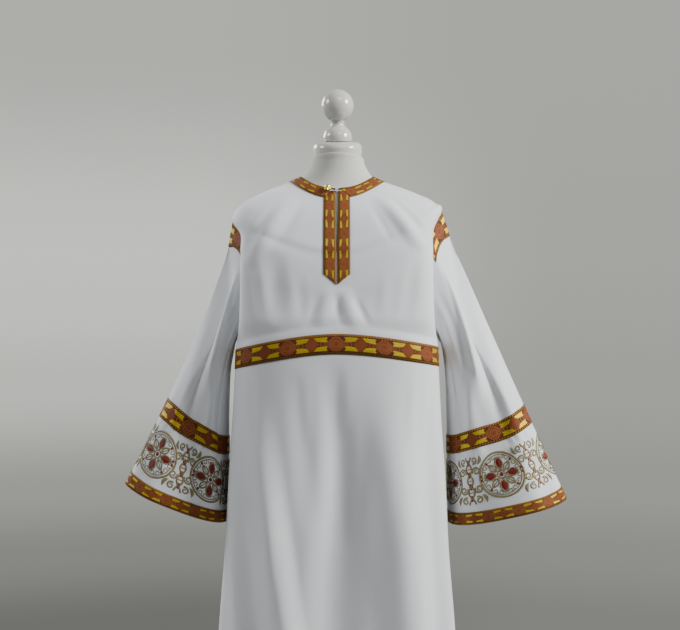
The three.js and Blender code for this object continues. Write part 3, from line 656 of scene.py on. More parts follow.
def galloon(name, width, repeat, block_low, block_high, ground_low, ground_high):
    """Woven ribbon: rope borders, a latticed diamond between bright blocks, and an eight-sided medallion."""
    scale = width / 38.0
    paint = Paint(name, Specular_IOR_Level=0.2)
    u, v = paint.coordinates()
    along_ribbon = u * (1 / (scale * MM))
    height = v * (1 / (scale * MM)) - 19
    across = abs(height)
    half = repeat / scale / 2
    along = along_ribbon.fold(2 * half)
    beyond = along * -1 + half

    field = across < 13.8
    rope = (along_ribbon + height * 0.6).wave(5.5) > 0.52
    border = (across > 14.6) * (across < 18.5)
    edge_line = (across > 13.3) * (across < 14.6)

    diamond = along + across * 0.95
    in_diamond = diamond < 13.4
    outline = (diamond > 12.1) * in_diamond
    lattice = ((along + across).fold(4.8) < 0.5).run("MAXIMUM", (along - across).fold(4.8) < 0.5)
    lattice = lattice * (diamond < 10.2)
    shadow = (diamond > 13.4) * (diamond < 15.2)

    notch_far = (along - 31.0).run("POWER", 2) + (across - 8.4).run("POWER", 2)
    block = (across + along * 0.08 > block_low) * (across < block_high) * (along < 29.5) * (diamond > 15.4)
    block = block * (notch_far > 3.3**2)

    link_far = ((along - 20.5).run("POWER", 2) + across.run("POWER", 2)).run("SQRT")
    link = (link_far < 5.0) * (link_far > 3.5)
    link_heart = link_far < 1.9
    waves = (across < 5.4) * (along > 26) * ((along + across * 0.8).fold(4.4) < 0.8)

    eight = across.run("MAXIMUM", beyond).run("MAXIMUM", (beyond + across) * 0.72)
    rim = (eight > 12.0) * (eight < 13.2)
    inner_rim = (eight > 5.4) * (eight < 6.4)
    rays = ((beyond + across).fold(5.2) < 0.55).run("MAXIMUM", (beyond - across).fold(5.2) < 0.55)
    rays = rays * (eight < 11.6) * (eight > 6.6)
    crimson = in_diamond.run("MAXIMUM", eight < 12.4).run("MAXIMUM", link_heart) * field

    lines = outline
    for piece in (lattice, link, rim, inner_rim, rays, waves):
        lines = lines.run("MAXIMUM", piece)
    lines = lines * field
    grain = paint.noise(300, 2, True)
    weft = paint.noise(1100, 1, True, (1, 2.4, 1)) > 0.55
    ground = paint.mix(grain, ground_low, ground_high)
    ground = paint.mix(crimson * 0.85, ground, (0.160, 0.007, 0.006))
    ground = paint.mix(weft * 0.25, ground, (0.24, 0.085, 0.018))
    weave = paint.mix(lines * 0.85, ground, paint.mix(grain, (0.38, 0.155, 0.045), (0.22, 0.080, 0.020)))
    weave = paint.mix(border, weave, paint.mix(rope, (0.085, 0.027, 0.005), (0.34, 0.155, 0.022)))
    weave = paint.mix(edge_line.run("MAXIMUM", shadow * field) * 0.8, weave, (0.050, 0.011, 0.004))
    weave = paint.mix(block, weave, paint.mix(grain, (0.74, 0.54, 0.025), (0.36, 0.26, 0.012)))
    paint.link(paint.shader.inputs["Base Color"], weave)
    paint.link(paint.shader.inputs["Metallic"], (lines * 0.15 + block * 0.6).run("MINIMUM", 1.0))
    paint.link(paint.shader.inputs["Roughness"], (block * -0.12 + 0.58) + grain * 0.08)
    picks = u.wave(0.0008)
    relief = picks * 0.2 + lines * 0.6 + rope * border * 0.6 + block * 0.7 + weft * 0.2 - edge_line * 0.5
    paint.bump(relief, 0.0003, 0.7)
    return paint.material


# Width and repeat, the bright blocks' inner and outer bounds from the middle, and the ground's two tones.
WIDE_GALLOON = galloon("galloon_wide", WIDE, 91.0, 6.3, 12.7, (0.060, 0.010, 0.004), (0.125, 0.030, 0.007))
NARROW_GALLOON = galloon(
    "galloon_narrow", NARROW, 60.0, 8.2, 12.0, (0.110, 0.032, 0.006), (0.210, 0.075, 0.012))

# ---------------------------------------------------------------- body, sleeves and ribbons
WALL = 1.0
RIBBON_WALL = 0.8
RIBBON_LIFT = 1.2


def cloth_piece(name, grid, node, cell_at=None, material=WHITE):
    obj = sheet(name, grid, 0, WALL, cell_at)
    finish_piece(obj, material, [node])
    return obj


def ribbon_piece(name, grid, width, cell_at=None):
    obj = sheet(name, grid, RIBBON_LIFT, RIBBON_WALL, cell_at)
    weave = WIDE_GALLOON if width == WIDE else NARROW_GALLOON
    finish_piece(obj, weave, [name.replace("_woven", "")])
    return obj


def front_cells(r, c):
    return "none" if c == LEFT_SLIT and r < body_row["armTop"] else "whole"


cloth_piece("front_cloth", front, "front", front_cells)
cloth_piece("back_cloth", back, "back")


def all_round(first, last):
    rows = list(range(body_row[first], body_row[last] + 1))
    return beside(front.pick(rows), back.pick(rows, list(range(1, BACK_COUNT - 1))))


def collar_cells(r, c):
    """The collar ends on a mitre on both sides of the opening."""
    if c == LEFT_SLIT:
        return "none"
    if LEFT_SLIT - STRIP_CELLS <= c < LEFT_SLIT:
        k = LEFT_SLIT - 1 - c
        return "whole" if k > r else "adb" if k == r else "none"
    if RIGHT_SLIT <= c < RIGHT_SLIT + STRIP_CELLS:
        k = c - RIGHT_SLIT
        return "whole" if k > r else "acb" if k == r else "none"
    return "whole"


collar = across_ribbon(all_round("neckline", "collar"), NARROW)
collar.flat[..., 0] -= collar.flat[0, LEFT_SLIT, 0]
ribbon_piece("collar_ribbon_woven", collar, NARROW, collar_cells)

band = centre_repeat(across_ribbon(all_round("bandTop", "bandLow"), WIDE), -48.7)
ribbon_piece("chest_band_woven", band, WIDE)

STRIP_REPEAT = 13
SHOULDER_REPEAT = 15.5
STRIP_TIP = body_row["armUpper"] + 10
STRIP_SQUARE = body_row["armUpper"] + 5


def strip(name, columns, side):
    grid = front.pick(list(range(STRIP_TIP + 1)), columns, False)
    grid.flat = measured(grid.points)
    across = np.linspace(0, NARROW, STRIP_CELLS + 1)
    down = grid.flat[..., 1].copy()
    grid.flat = np.stack([down - STRIP_REPEAT, np.repeat(across[None], len(down), 0)], -1)
    grid.points[:6, :, 2] -= 0.25

    def cell_at(r, c):
        k = STRIP_CELLS - 1 - c if side < 0 else c
        if r < STRIP_CELLS:
            edge = "bdc" if side < 0 else "adc"
            return "whole" if k < r else edge if k == r else "none"
        if r >= STRIP_SQUARE:
            k = STRIP_CELLS - 1 - k
            r -= STRIP_SQUARE
            edge = "acb" if side < 0 else "adb"
            return "whole" if k > r else edge if k == r else "none"
        return "whole"

    return ribbon_piece(name + "_woven", grid, NARROW, cell_at)


strip("placket_strip_left", list(range(LEFT_SLIT - STRIP_CELLS, LEFT_SLIT + 1)), -1)
strip("placket_strip_right", list(range(RIGHT_SLIT, RIGHT_SLIT + STRIP_CELLS + 1)), 1)

CUFF_CLOTH = gabardine("cuff_gabardine", CLOTH_WHITE)
reach = round(RIBBON_REACH * SLEEVE_CELLS / RING)
for name, grid in sleeves.items():
    every = list(range(SLEEVE_CELLS))
    sleeve = grid.pick(list(range(ROW_JOIN + 1)), every)
    cloth_piece(f"sleeve_{name}_cloth", sleeve, f"sleeve_{name}")
    cuff = grid.pick(list(range(ROW_JOIN, ROW_LAST + 1)), every)
    cuff.points[0] += 0.35 * (cuff.points[1] - cuff.points[0]) / np.linalg.norm(
        cuff.points[1] - cuff.points[0], axis=-1, keepdims=True)
    cloth_piece(f"cuff_{name}_cloth", cuff, f"cuff_{name}", material=CUFF_CLOTH)
    over = every[-reach:] + every[: reach + 1]
    shoulder = across_ribbon(grid.pick(list(range(ROW_RIBBON, ROW_BELOW_RIBBON + 1)), over, False), WIDE)
    shoulder.flat[..., 0] -= shoulder.flat[0, reach, 0] + {"left": -1, "right": 1}[name] * SHOULDER_REPEAT
    ribbon_piece(f"shoulder_ribbon_{name}_woven", shoulder, WIDE)
    upper = across_ribbon(grid.pick(list(range(ROW_CUFF_TOP, ROW_PANEL + 1)), every), WIDE)
    centre_repeat(upper, {"left": -250, "right": 262}[name])
    ribbon_piece(f"cuff_top_ribbon_{name}_woven", upper, WIDE)
    lower = across_ribbon(grid.pick(list(range(ROW_EDGE, ROW_LAST + 1)), every), NARROW)
    ribbon_piece(f"cuff_edge_ribbon_{name}_woven", lower, NARROW)


# ---------------------------------------------------------------- embroidery of the cuffs
# A rosette and a braided palmette take turns round each cuff. Both are drawn flat, in millimetres along the
# cuff and up it, as rows of satin stitch that are raised over the cloth.
def circle(radius, start=0, end=360, middle=(0, 0), steps=40):
    angle = np.radians(np.linspace(start, end, steps + 1))
    return np.stack([middle[0] + radius * np.cos(angle), middle[1] + radius * np.sin(angle)], -1)


def scroll(middle, wide, tight, start, sweep, steps=26):
    """A spiral that draws in from its wide end."""
    t = np.linspace(0, 1, steps + 1)
    angle = np.radians(start + sweep * t)
    radius = wide + (tight - wide) * t**0.8
    return np.stack([middle[0] + radius * np.cos(angle), middle[1] + radius * np.sin(angle)], -1)


def bowed(start, end, bulge, steps=14):
    """A line that bows to its left by `bulge`."""
    start, end = np.array(start, float), np.array(end, float)
    t = np.linspace(0, 1, steps + 1)[:, None]
    left = np.array([start[1] - end[1], end[0] - start[0]]) / np.linalg.norm(end - start)
    return start + (end - start) * t + left * bulge * np.sin(math.pi * t)


def turned(path, degrees):
    k = math.radians(degrees)
    return path @ np.array([[math.cos(k), math.sin(k)], [-math.sin(k), math.cos(k)]])


def leaf(path, width):
    """Widths of a row of stitches that is pointed at both ends."""
    return np.maximum(width * np.sin(math.pi * np.linspace(0, 1, len(path))) ** 0.8, 0.35)


def rosette():
    rows = [(circle(43, steps=72), 4.0, "gold"), (circle(38.2, steps=64), 2.1, "gold"),
            (circle(7.4), 2.9, "gold")]
    rows.append((bowed((-4.2, 0), (4.2, 0), 0), leaf(range(15), 9), "crimson"))
    for k in range(8):
        large = k % 2 == 0
        tip, spread = (34.5, 7.2) if large else (30.5, 5.2)
        heart = bowed((11, 0), (tip - 3, 0), 0)
        rows.append((turned(bowed((9.5, 0), (tip, 0), spread), 45 * k), 3.0, "gold"))
        rows.append((turned(bowed((9.5, 0), (tip, 0), -spread), 45 * k), 3.0, "gold"))
        fill, colour = (leaf(heart, 12.5), "crimson") if large else (1.9, "gold")
        rows.append((turned(heart, 45 * k), fill, colour))
        if not large:
            bud = bowed((31.5, 0), (37.4, 0), 0, 8)
            rows.append((turned(bud, 45 * k), leaf(bud, 5.6), "crimson"))
        rows.append((turned(circle(3.3, 60, 300, (33.4, 8.3), 12), 45 * k), 1.8, "gold"))
        rows.append((turned(circle(3.3, 60, 300, (33.4, -8.3), 12), 45 * k), 1.8, "gold"))
    return rows


def palmette():
    rows = []
    y = np.linspace(-46, 46, 61)
    for side in (-1, 1):
        rows.append((np.stack([side * 6.2 * np.cos(math.pi * y / 23), y], -1), 3.6, "gold"))
        for up in (-1, 1):
            flip = np.array([side, up])
            curl = scroll((15.5, 17), 9, 2.4, 200, -500)
            rows.append((curl * flip, np.linspace(3.9, 2.5, len(curl)), "gold"))
            low = scroll((13.5, 38.5), 7.4, 2.2, -120, 430, 22)
            rows.append((low * flip, np.linspace(3.7, 2.4, len(low)), "gold"))
            blade = bowed((20, 29), (27, 46), -3.4)
            rows.append((blade * flip, leaf(blade, 6.4), "gold"))
            drop = bowed((19, 5.5), (25, 0.5), 1.2, 8)
            rows.append((drop * flip, leaf(drop, 4.6), "crimson"))
    for height in (-34.5, -11.5, 11.5, 34.5):
        stone = bowed((0, height - 6.5), (0, height + 6.5), 0, 10)
        rows.append((stone, leaf(stone, 8.6 if abs(height) < 20 else 6.8), "crimson"))
    for height in (-23, 0, 23):
        rows.append((bowed((-4.5, height), (4.5, height), 0, 8), 2.1, "gold"))
    return rows


def thread(name, light, strand_and_edge_shade, roughness, metallic):
    paint = Paint(name, Specular_IOR_Level=0.4, Metallic=metallic, Roughness=roughness)
    u, v = paint.coordinates()
    # The outer edges of each row of stitches are painted shade: a darker copy of the thread's colour, as the
    # raised stitch's sides turn from the light.
    edge = abs(v) > 0.33
    strands = (u + v * 0.0006).wave(0.0011)
    tone = paint.mix(paint.noise(240, 2), light, tuple(0.72 * k for k in light))
    paint.link(paint.shader.inputs["Base Color"], paint.mix(edge, paint.mix(strands * 0.3, tone, strand_and_edge_shade), strand_and_edge_shade))
    paint.bump(strands, 0.0002, 0.6)
    return paint.material


# Each thread has its colour and a darker copy of it. The darker copy paints the shade on the stitch edges and
# tints the strands.
THREADS = {
    "gold": thread("antique_gold_thread", (0.36, 0.30, 0.12), (0.060, 0.044, 0.008), 0.42, 0.25),
    "crimson": thread("crimson_thread", (0.235, 0.008, 0.014), (0.12, 0.004, 0.008), 0.5, 0.0),
}
STITCH_RING = [(-0.5, 0), (-0.3, 1), (0, 1.15), (0.3, 1), (0.5, 0), (0.28, -0.5), (-0.28, -0.5)]


def tube_faces(start, count, sides):
    faces = [
        [start + r * sides + c, start + r * sides + (c + 1) % sides,
         start + (r + 1) * sides + (c + 1) % sides, start + (r + 1) * sides + c]
        for r in range(count - 1) for c in range(sides)
    ]
    faces.append([start + c for c in range(sides)][::-1])
    faces.append([start + (count - 1) * sides + c for c in range(sides)])
    return faces


class Needlework:
    """Rows of satin stitch laid on a cuff's white panel."""

    def __init__(self, grid):
        self.grid = grid
        middle = grid.points[(ROW_PANEL + ROW_EDGE) // 2]
        steps = np.linalg.norm(np.roll(middle, -1, 0) - middle, axis=1)
        self.round = np.concatenate([[0], np.cumsum(steps)])
        panel = np.linalg.norm(np.diff(grid.points[ROW_PANEL:ROW_EDGE + 1], axis=0), axis=2).sum(0)
        self.panel = np.append(panel, panel[0])
        self.vertices = {"gold": [], "crimson": []}
        self.faces = {"gold": [], "crimson": []}
        self.flat = {"gold": [], "crimson": []}

    def place(self, along, up, height):
        column = np.interp(along % self.round[-1], self.round, np.arange(len(self.round)))
        panel = np.interp(column, np.arange(len(self.panel)), self.panel)
        row = (ROW_PANEL + ROW_EDGE) / 2 - up / panel * (ROW_EDGE - ROW_PANEL)
        r, c = np.floor(row).astype(int), np.floor(column).astype(int)
        row, column = (row - r)[..., None], (column - c)[..., None]
        count = self.grid.points.shape[1]

        def blend(values):
            upper = values[r, c % count] * (1 - column) + values[r, (c + 1) % count] * column
            lower = values[r + 1, c % count] * (1 - column) + values[r + 1, (c + 1) % count] * column
            return upper * (1 - row) + lower * row

        return blend(self.grid.points) + blend(self.grid.normals) * height[..., None]

    def row(self, path, width, colour):
        along = np.gradient(path, axis=0)
        along /= np.linalg.norm(along, axis=1, keepdims=True)
        left = np.stack([-along[:, 1], along[:, 0]], -1)
        width = np.broadcast_to(width, len(path))
        ring = np.array(STITCH_RING)
        flat = path[:, None] + left[:, None] * (width[:, None] * ring[:, 0])[..., None]
        height = np.minimum(0.25 + 0.2 * width, 0.8)[:, None] * ring[:, 1] + 0.12
        start, sides = len(self.vertices[colour]), len(ring)
        points = self.place(flat[..., 0], flat[..., 1], height) * MM
        self.vertices[colour] += [tuple(point) for point in points.reshape(-1, 3)]
        gone = np.concatenate([[0], np.cumsum(np.linalg.norm(np.diff(path, axis=0), axis=1))]) * MM
        for face in tube_faces(start, len(path), sides):
            self.faces[colour].append(face[::-1])
            steps = [divmod(k - start, sides) for k in face[::-1]]
            self.flat[colour] += [(gone[r], ring[c, 0]) for r, c in steps]

    def motif(self, rows, at):
        for path, width, colour in rows:
            self.row(path + np.array([at, 0]), width, colour)

    def finish(self, name):
        for colour, faces in self.faces.items():
            obj = mesh_object(f"{name}_{colour}", self.vertices[colour], faces)
            layer = obj.data.uv_layers.new(name="cloth")
            layer.data.foreach_set("uv", np.array(self.flat[colour], np.float32).ravel())
            finish_piece(obj, THREADS[colour], None)


for name, grid in sleeves.items():
    work = Needlework(grid)
    pitch = work.round[-1] / 5
    front_middle = work.round[SLEEVE_CELLS // 4]
    for k in range(5):
        work.motif(palmette(), front_middle + k * pitch)
        work.motif(rosette(), front_middle + (k + 0.5) * pitch)
    work.finish(f"cuff_{name}_embroidery")


# ---------------------------------------------------------------- dress form
JERSEY = Paint("jersey", Sheen_Weight=0.15, Specular_IOR_Level=0.3, Roughness=0.85)
JERSEY.link(JERSEY.shader.inputs["Base Color"], JERSEY.mix(
    JERSEY.noise(9, 3), (0.60, 0.60, 0.555), (0.56, 0.56, 0.515)))
JERSEY.bump(JERSEY.noise(1400, 2, stretch=(1, 1, 0.35)), 0.0002, 0.35)

NECK_TOP = np.array([1.0, -8.0, 1520.0])
NECK_RADIUS = 52
COVER_CLIMB = 15
# The cover's lip over the neck cap: radius, share of the climb, and how much higher.
COVER_LIP = [(49.6, 1, 1.0), (50.9, 1, 1.4), (51.5, 1, 0.4), (51.2, 0.6, 0.2), (51.4, 0.25, 0)]
LEAN = math.radians(12)
back_columns = list(range(1, BACK_COUNT - 1))


def lean(points):
    points = np.asarray(points, float)
    x, y, z = points[..., 0], points[..., 1], points[..., 2]
    return np.stack([x, y * math.cos(LEAN) - z * math.sin(LEAN), y * math.sin(LEAN) + z * math.cos(LEAN)], -1)


def form_rings():
    def under(grid, r, columns):
        inset = 1.9 + 1.6 * (1 - grid.share[r, columns])
        return grid.bare[r, columns] - normals_of(grid.bare, False)[r, columns] * inset[:, None]

    every = list(range(FRONT_COUNT))
    top_rows = range(body_row["neckline"], body_row["corner"] + 1)
    rings = [np.concatenate([under(front, r, every), under(back, r, back_columns)]) for r in top_rows]
    share_front = np.sign(front.flat[body_row["corner"], :, 0]) * front.share[body_row["corner"]]
    share_back = np.sign(back.flat[body_row["corner"], :, 0]) * back.share[body_row["corner"]]
    for step in range(4 * (len(FORM) - 1) + 1):
        section = {name: glide([row[k] for row in FORM], step / 4) for k, name in enumerate(FORM_COLUMNS)}
        lines = Line(section, -1), Line(section, 1)
        rings.append(np.concatenate([
            lines[0].points(share_front * lines[0].girth),
            lines[1].points(share_back[back_columns] * lines[1].girth),
        ]))
    start_front = np.sign(front.flat[0, :, 0]) * front.share[0]
    start_back = np.sign(back.flat[0, :, 0]) * back.share[0]
    angle = np.concatenate([math.pi / 2 * start_front, math.pi - math.pi / 2 * start_back[back_columns]])
    circle = np.stack([NECK_RADIUS * np.sin(angle), -NECK_RADIUS * np.cos(angle), 0 * angle], -1)
    neck = lean(circle) + NECK_TOP
    hollow = np.stack([np.sin(angle), -np.cos(angle), 0 * angle], -1)
    rise = []
    for k in range(9):
        t = k / 9
        ring = neck * (1 - t) + rings[0] * t - hollow * 3.5 * math.sin(math.pi * t)
        rise.append(ring)
    climb = (COVER_CLIMB * np.maximum(np.cos(angle), 0) ** 1.3)[:, None]
    up = lean(np.array([0.0, 0, 1]))
    lip = [NECK_TOP + lean(hollow * wide) + up * (climb * share + low) for wide, share, low in COVER_LIP]
    return lip + rise + rings


rings = np.array(form_rings()) * MM
count = rings.shape[1]
corners = [tuple(p) for ring in rings for p in ring]
faces = [
    [r * count + c, (r + 1) * count + c, (r + 1) * count + (c + 1) % count, r * count + (c + 1) % count]
    for r in range(len(rings) - 1) for c in range(count)
]
faces += [list(range(count)), list(range((len(rings) - 1) * count, len(rings) * count))[::-1]]
finish_piece(mesh_object("form_body", corners, faces), JERSEY.material, ["dress_form"])

# ---------------------------------------------------------------- turned, moulded and corded pieces
def gloss(name, colour, roughness, coat):
    paint = Paint(name, Coat_Weight=coat, Coat_Roughness=0.06, Specular_IOR_Level=0.5)
    paint.link(paint.shader.inputs["Base Color"], paint.mix(
        paint.noise(30, 3), colour, tuple(k * 0.95 for k in colour)))
    paint.link(paint.shader.inputs["Roughness"], paint.noise(55, 3) * 0.08 + roughness)
    paint.bump(paint.noise(160, 2), 0.0002, 0.15)
    return paint.material


LACQUER = gloss("white_lacquer", (0.62, 0.61, 0.565), 0.16, 0.6)
POLE_PAINT = gloss("pole_paint", (0.66, 0.66, 0.65), 0.34, 0.0)


def clear_selection():
    if bpy.context.object and bpy.context.object.mode != "OBJECT":
        bpy.ops.object.mode_set(mode="OBJECT")
    bpy.ops.object.select_all(action="DESELECT")


def close_up(name, material, replaced, angle=40):
    """Leaves edit mode with even normals, takes the object's place into its mesh, gives it its material,
    attaches it to the root and hides the parts it replaces.
    """
    obj = bpy.context.object
    bpy.ops.mesh.select_all(action="SELECT")
    bpy.ops.mesh.remove_doubles(threshold=0.00001)
    bpy.ops.mesh.normals_make_consistent(inside=False)
    bpy.ops.object.mode_set(mode="OBJECT")
    bpy.ops.object.transform_apply(location=True, rotation=True, scale=True)
    bpy.ops.object.shade_smooth_by_angle(angle=math.radians(angle))
    obj.name = obj.data.name = name
    return finish_piece(obj, material, replaced)


def turn(profile, sides=64):
    """Draws a disc up and in, ring by ring, as on a lathe. The profile is in millimetres: radius, height."""
    clear_selection()
    radius, height = profile[0]
    bpy.ops.mesh.primitive_circle_add(
        vertices=sides, radius=radius * MM, fill_type="NGON", location=(0, 0, 0))
    bpy.ops.object.mode_set(mode="EDIT")
    bpy.ops.mesh.select_all(action="SELECT")
    bpy.ops.transform.translate(value=(0, 0, height * MM))
    for wide, high in profile[1:]:
        bpy.ops.mesh.extrude_region_move(TRANSFORM_OT_translate={"value": (0, 0, (high - height) * MM)})
        bpy.ops.transform.resize(value=(wide / radius, wide / radius, 1), center_override=(0, 0, high * MM))
        radius, height = wide, high
    return bpy.context.object


def arc(radius, height, start, end, steps, squash=1.0):
    """Radius and height along an arc from the axis, by its angle up from the level."""
    angles = np.radians(np.linspace(start, end, steps + 1))
    return [(radius * math.cos(k), height + radius * squash * math.sin(k)) for k in angles]


def onto_neck(obj, height):
    obj.rotation_euler.x = LEAN
    obj.location = [k * MM for k in lean((0, 0, height)) + NECK_TOP]


CAP_EDGE = [(36 + 13 * math.sin(k), 22 + 13 * math.cos(k)) for k in np.linspace(math.pi / 2, 0.02, 11)]
CAP_FOOT = [(44, 0.3), (48.2, 0.8), (49, 2.2), (49, 5), (48.4, 5.5), (48.4, 6.1), (49, 6.6)]
onto_neck(turn(CAP_FOOT + CAP_EDGE, 96), 0)
close_up("neck_cap_turned", LACQUER, ["neck_cap"], 30)

CAP_HEIGHT = 35.6
FINIAL = [(25.5, 0), (27.4, 1.0), (28.6, 3), (29, 5.4), (28.9, 8.6), (28.3, 12), (27, 16), (25.2, 19.4),
          (22.6, 22.8), (19.6, 25.6), (17.2, 27.6), (15.4, 29.4), (14.3, 31.4), (13.5, 33.6), (13.3, 35.8),
          (13.7, 38)]
BALL = [(r, h) for r, h in arc(32, 69, -64, 89, 40) if h > 40]
onto_neck(turn(FINIAL + BALL, 96), CAP_HEIGHT)
close_up("finial_turned", LACQUER, ["finial"], 30)

turn([(206, 0), (208.6, 0.8), (210, 2.6), (210, 12.2), (209.2, 14.8), (207.4, 16.8), (205, 18), (150, 18.3),
      (60, 18.6), (35, 18.9), (34, 19.6), (33.4, 22), (31, 24.2), (28.6, 25), (26, 30), (23.2, 37),
      (21.4, 41), (20.4, 42.2), (19, 43.6), (16.4, 44)], 128)
close_up("stand_base_turned", LACQUER, ["stand_base"], 30)

turn([(14.2, 44.3), (15, 45), (15, 400), (15, 700), (15, 704), (14.6, 704.6), (14.6, 706), (15, 706.6),
      (15, 758.6), (14.2, 759.6)], 64)
close_up("stand_pole_tube", POLE_PAINT, ["stand_pole"], 30)

BUTTON_ACROSS = -17.6
BUTTON_DOWN = 0.2
ON_RIBBON = 1.5
STEM = 2.2
PETALS = 8
CORD = 0.85


def collar_seat(across, down):
    """A point of the collar's front and the direction out of it, for runs across it and down it."""
    def at(run, place):
        return Line(body_section(place), -1).points(np.array([float(run)]))[0]

    point = at(across, down)
    out = np.cross(at(across, down + 0.1) - point, at(across + 1, down) - at(across - 1, down))
    return point, out / np.linalg.norm(out)


BRASS = Paint("button_brass", Metallic=1.0)
BRASS.link(BRASS.shader.inputs["Base Color"], BRASS.mix(
    BRASS.noise(420, 2), (0.80, 0.66, 0.12), (0.50, 0.40, 0.05)))
BRASS.link(BRASS.shader.inputs["Roughness"], BRASS.noise(300, 2) * 0.2 + 0.16)

seat, outward = collar_seat(BUTTON_ACROSS, BUTTON_DOWN)
seat = seat + outward * ON_RIBBON
to_seat = Vector(outward).to_track_quat("Z", "Y").to_euler()
button = turn([(STEM, 0), (2.0, 1.2), (2.2, 2.6), (6.6, 3.0), (7.6, 3.5), (7.8, 4.2), (7.3, 5.0), (6.2, 5.7),
               (4.9, 6.6), (3.5, 7.4), (2.6, 7.5), (2.4, 8.1), (1.6, 8.6), (0.5, 8.8)], 64)
edit = bmesh.from_edit_mesh(button.data)
for vertex in edit.verts:
    petal = math.cos(PETALS * math.atan2(vertex.co.y, vertex.co.x))
    if math.hypot(vertex.co.x, vertex.co.y) > 3.2 * MM and vertex.co.z > 2.8 * MM:
        vertex.co.x *= 0.93 + 0.07 * petal
        vertex.co.y *= 0.93 + 0.07 * petal
        vertex.co.z += 0.45 * MM * petal
bmesh.update_edit_mesh(button.data)
button.rotation_euler = to_seat
button.location = seat * MM
close_up("button_moulded", BRASS.material, ["button"], 50)

CORD_WHITE = Paint("loop_cord", Sheen_Weight=0.2, Specular_IOR_Level=0.4, Roughness=0.55)
CORD_WHITE.link(CORD_WHITE.shader.inputs["Base Color"], CORD_WHITE.mix(
    CORD_WHITE.noise(700, 2), (0.86, 0.86, 0.86), (0.76, 0.76, 0.77)))


def smooth_path(places, steps):
    """A Catmull-Rom curve through the places."""
    places = np.asarray(places, float)
    padded = np.concatenate([[2 * places[0] - places[1]], places, [2 * places[-1] - places[-2]]])
    curve = []
    for k in range(len(places) - 1):
        a, b, c, d = padded[k:k + 4]
        for t in np.arange(steps) / steps:
            curve.append(((2 * b) + (c - a) * t + (2 * a - 5 * b + 4 * c - d) * t**2
                          + (3 * b - 3 * c + d - a) * t**3) / 2)
    return np.array(curve + [places[-1]])


def tube(path, radius, sides, ups):
    """Rings round a path, with each ring's two directions square to it."""
    along = np.gradient(path, axis=0)
    along /= np.linalg.norm(along, axis=1, keepdims=True)
    aside = np.cross(along, ups)
    aside /= np.linalg.norm(aside, axis=1, keepdims=True)
    rise = np.cross(aside, along)
    angle = 2 * math.pi * np.arange(sides) / sides
    return (path[:, None] + radius * (np.cos(angle)[None, :, None] * aside[:, None]
                                      + np.sin(angle)[None, :, None] * rise[:, None]))


def twisted_cord(name, path, ups, radius, twist, plies=2, sides=8):
    """A laid cord of thin plies, each a tube that winds round the path."""
    along = np.gradient(path, axis=0)
    gone = np.concatenate([[0], np.cumsum(np.linalg.norm(np.diff(path, axis=0), axis=1))])
    along /= np.linalg.norm(along, axis=1, keepdims=True)
    aside = np.cross(along, ups)
    aside /= np.linalg.norm(aside, axis=1, keepdims=True)
    rise = np.cross(aside, along)
    vertices, faces = [], []
    for k in range(plies):
        turn_by = (2 * math.pi * (gone / twist + k / plies))[:, None]
        ply = path + radius * 0.46 * (np.cos(turn_by) * aside + np.sin(turn_by) * rise)
        faces += tube_faces(len(vertices), len(ply), sides)
        vertices += [tuple(p * MM) for p in tube(ply, radius * 0.56, sides, ups).reshape(-1, 3)]
    return mesh_object(name, vertices, faces)


# The loop's two strands lie side by side, and its bend goes round the button's stem.
bend = STEM + 1.4
around = [(BUTTON_ACROSS + bend * math.cos(k), bend * math.sin(k))
          for k in np.linspace(math.pi / 2, 1.5 * math.pi, 7)]
straight = [(6.5, 1), (-4, 1), (-10, 1)]
places = [(x, bend * k) for x, k in straight] + around + [(x, -bend * k) for x, k in straight[::-1]]
seats = [collar_seat(x, BUTTON_DOWN + below / NARROW) for x, below in places]
loop_path = smooth_path([point + out * (ON_RIBBON + 0.6) for point, out in seats], 14)
loop_ups = np.repeat(seats[3][1][None], len(loop_path), 0)
loop = twisted_cord("button_loop_cord", loop_path, loop_ups, CORD, 2.8)
finish_piece(loop, CORD_WHITE.material, ["button_loop"])

# ---------------------------------------------------------------- floor, light and the end
FLOOR_RADIUS = 1.7
FLOOR_SIDES = 96
floor_mesh = bpy.data.meshes.new("floor")
floor_angles = [2 * math.pi * k / FLOOR_SIDES for k in range(FLOOR_SIDES)]
rim = [(FLOOR_RADIUS * math.cos(k), FLOOR_RADIUS * math.sin(k), 0) for k in floor_angles]
floor_mesh.from_pydata(rim, [], [list(range(FLOOR_SIDES))])
floor = bpy.data.objects.new("floor", floor_mesh)
bpy.context.scene.collection.objects.link(floor)
floor_paint = Paint("floor", Roughness=0.8, Specular_IOR_Level=0.2)
floor_paint.link(floor_paint.shader.inputs["Base Color"],
                 floor_paint.mix(floor_paint.noise(1.4, 2), (0.42, 0.417, 0.405), (0.39, 0.387, 0.375)))
floor_mesh.materials.append(floor_paint.material)

# The backdrop's grey, from 0 to 255, by the height of a direction, at its left and its right. These greys are
# painted light, the uneven fall of light over the wall.
WALL_STEPS = [
    (-0.285, 107, 125),
    (-0.225, 129, 137),
    (-0.165, 152, 150),
    (-0.07, 200, 160),
    (0.02, 219, 166),
    (0.055, 222, 168),
    (0.255, 182, 171),
]
WALL_WARMTH = (1, 1.01, 0.945)
FILL = 0.075


def lit(grey):
    return (grey / 255) ** 2.2 * 1.12


world = bpy.data.worlds.new("studio")
world.use_nodes = True
sky = world.node_tree
ray = sky.nodes.new("ShaderNodeSeparateXYZ")
sky.links.new(sky.nodes.new("ShaderNodeTexCoord").outputs["Generated"], ray.inputs[0])


def sky_range(socket, low, high):
    node = sky.nodes.new("ShaderNodeMapRange")
    node.interpolation_type = "SMOOTHSTEP"
    node.inputs["From Min"].default_value = low
    node.inputs["From Max"].default_value = high
    sky.links.new(socket, node.inputs["Value"])
    return node.outputs["Result"]


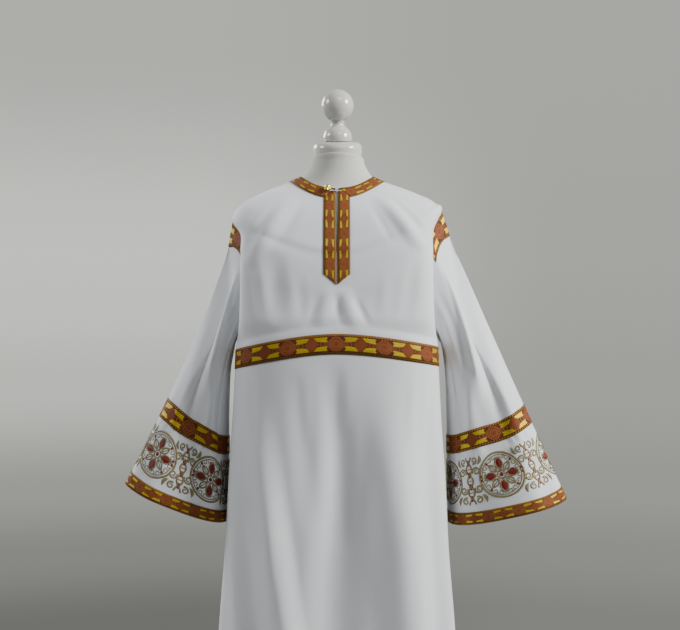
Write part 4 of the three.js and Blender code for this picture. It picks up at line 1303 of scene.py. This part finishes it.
def sky_ramp(column):
    """The backdrop's greys from one column of its steps."""
    level = sky.nodes.new("ShaderNodeMapRange")
    level.inputs["From Min"].default_value = -0.4
    level.inputs["From Max"].default_value = 0.4
    sky.links.new(ray.outputs["Z"], level.inputs["Value"])
    node = sky.nodes.new("ShaderNodeValToRGB")
    node.color_ramp.interpolation = "EASE"
    for k, row in enumerate(WALL_STEPS):
        at = (row[0] + 0.4) / 0.8
        stop = node.color_ramp.elements[k] if k < 2 else node.color_ramp.elements.new(at)
        stop.position = at
        stop.color = (*(lit(row[column]) * tint for tint in WALL_WARMTH), 1)
    sky.links.new(level.outputs["Result"], node.inputs["Fac"])
    return node.outputs["Color"]


def sky_mix(amount, one, other):
    node = sky.nodes.new("ShaderNodeMix")
    node.data_type = "RGBA"
    sky.links.new(amount, node.inputs["Factor"])
    for socket, value in ((node.inputs[6], one), (node.inputs[7], other)):
        if isinstance(value, tuple):
            socket.default_value = value
        else:
            sky.links.new(value, socket)
    return node.outputs[2]


wall = sky_mix(sky_range(ray.outputs["X"], -0.16, 0.22), sky_ramp(1), sky_ramp(2))
behind = sky_range(ray.outputs["Y"], -0.35, 0.35)
studio_light = sky_mix(behind, (FILL, FILL, FILL * 1.02, 1), wall)
sky.links.new(studio_light, sky.nodes["Background"].inputs["Color"])
bpy.context.scene.world = world


def softbox(name, place, target, size, power, colour):
    """A studio light, with its size in metres and its power in watts."""
    light = bpy.data.lights.new(name, "AREA")
    light.shape = "RECTANGLE"
    light.size, light.size_y = size
    light.energy = power
    light.color = colour
    obj = bpy.data.objects.new(name, light)
    obj.location = place
    obj.rotation_euler = (Vector(target) - Vector(place)).to_track_quat("-Z", "Y").to_euler()
    bpy.context.scene.collection.objects.link(obj)


softbox("key", (2.5, -0.95, 2.6), (0, 0, 1.25), (0.8, 0.9), 148, (1.0, 0.995, 0.98))
softbox("top", (0.7, -1.8, 3.1), (0, 0, 1.3), (1.2, 1.0), 14, (0.97, 0.985, 1.0))
softbox("side", (-2.5, -0.6, 2.7), (0, 0, 1.3), (0.8, 1.0), 36, (0.97, 0.985, 1.0))
softbox("rim", (-2.2, 1.9, 2.6), (0, 0, 1.2), (1.6, 1.2), 60, (1.0, 1.0, 1.0))
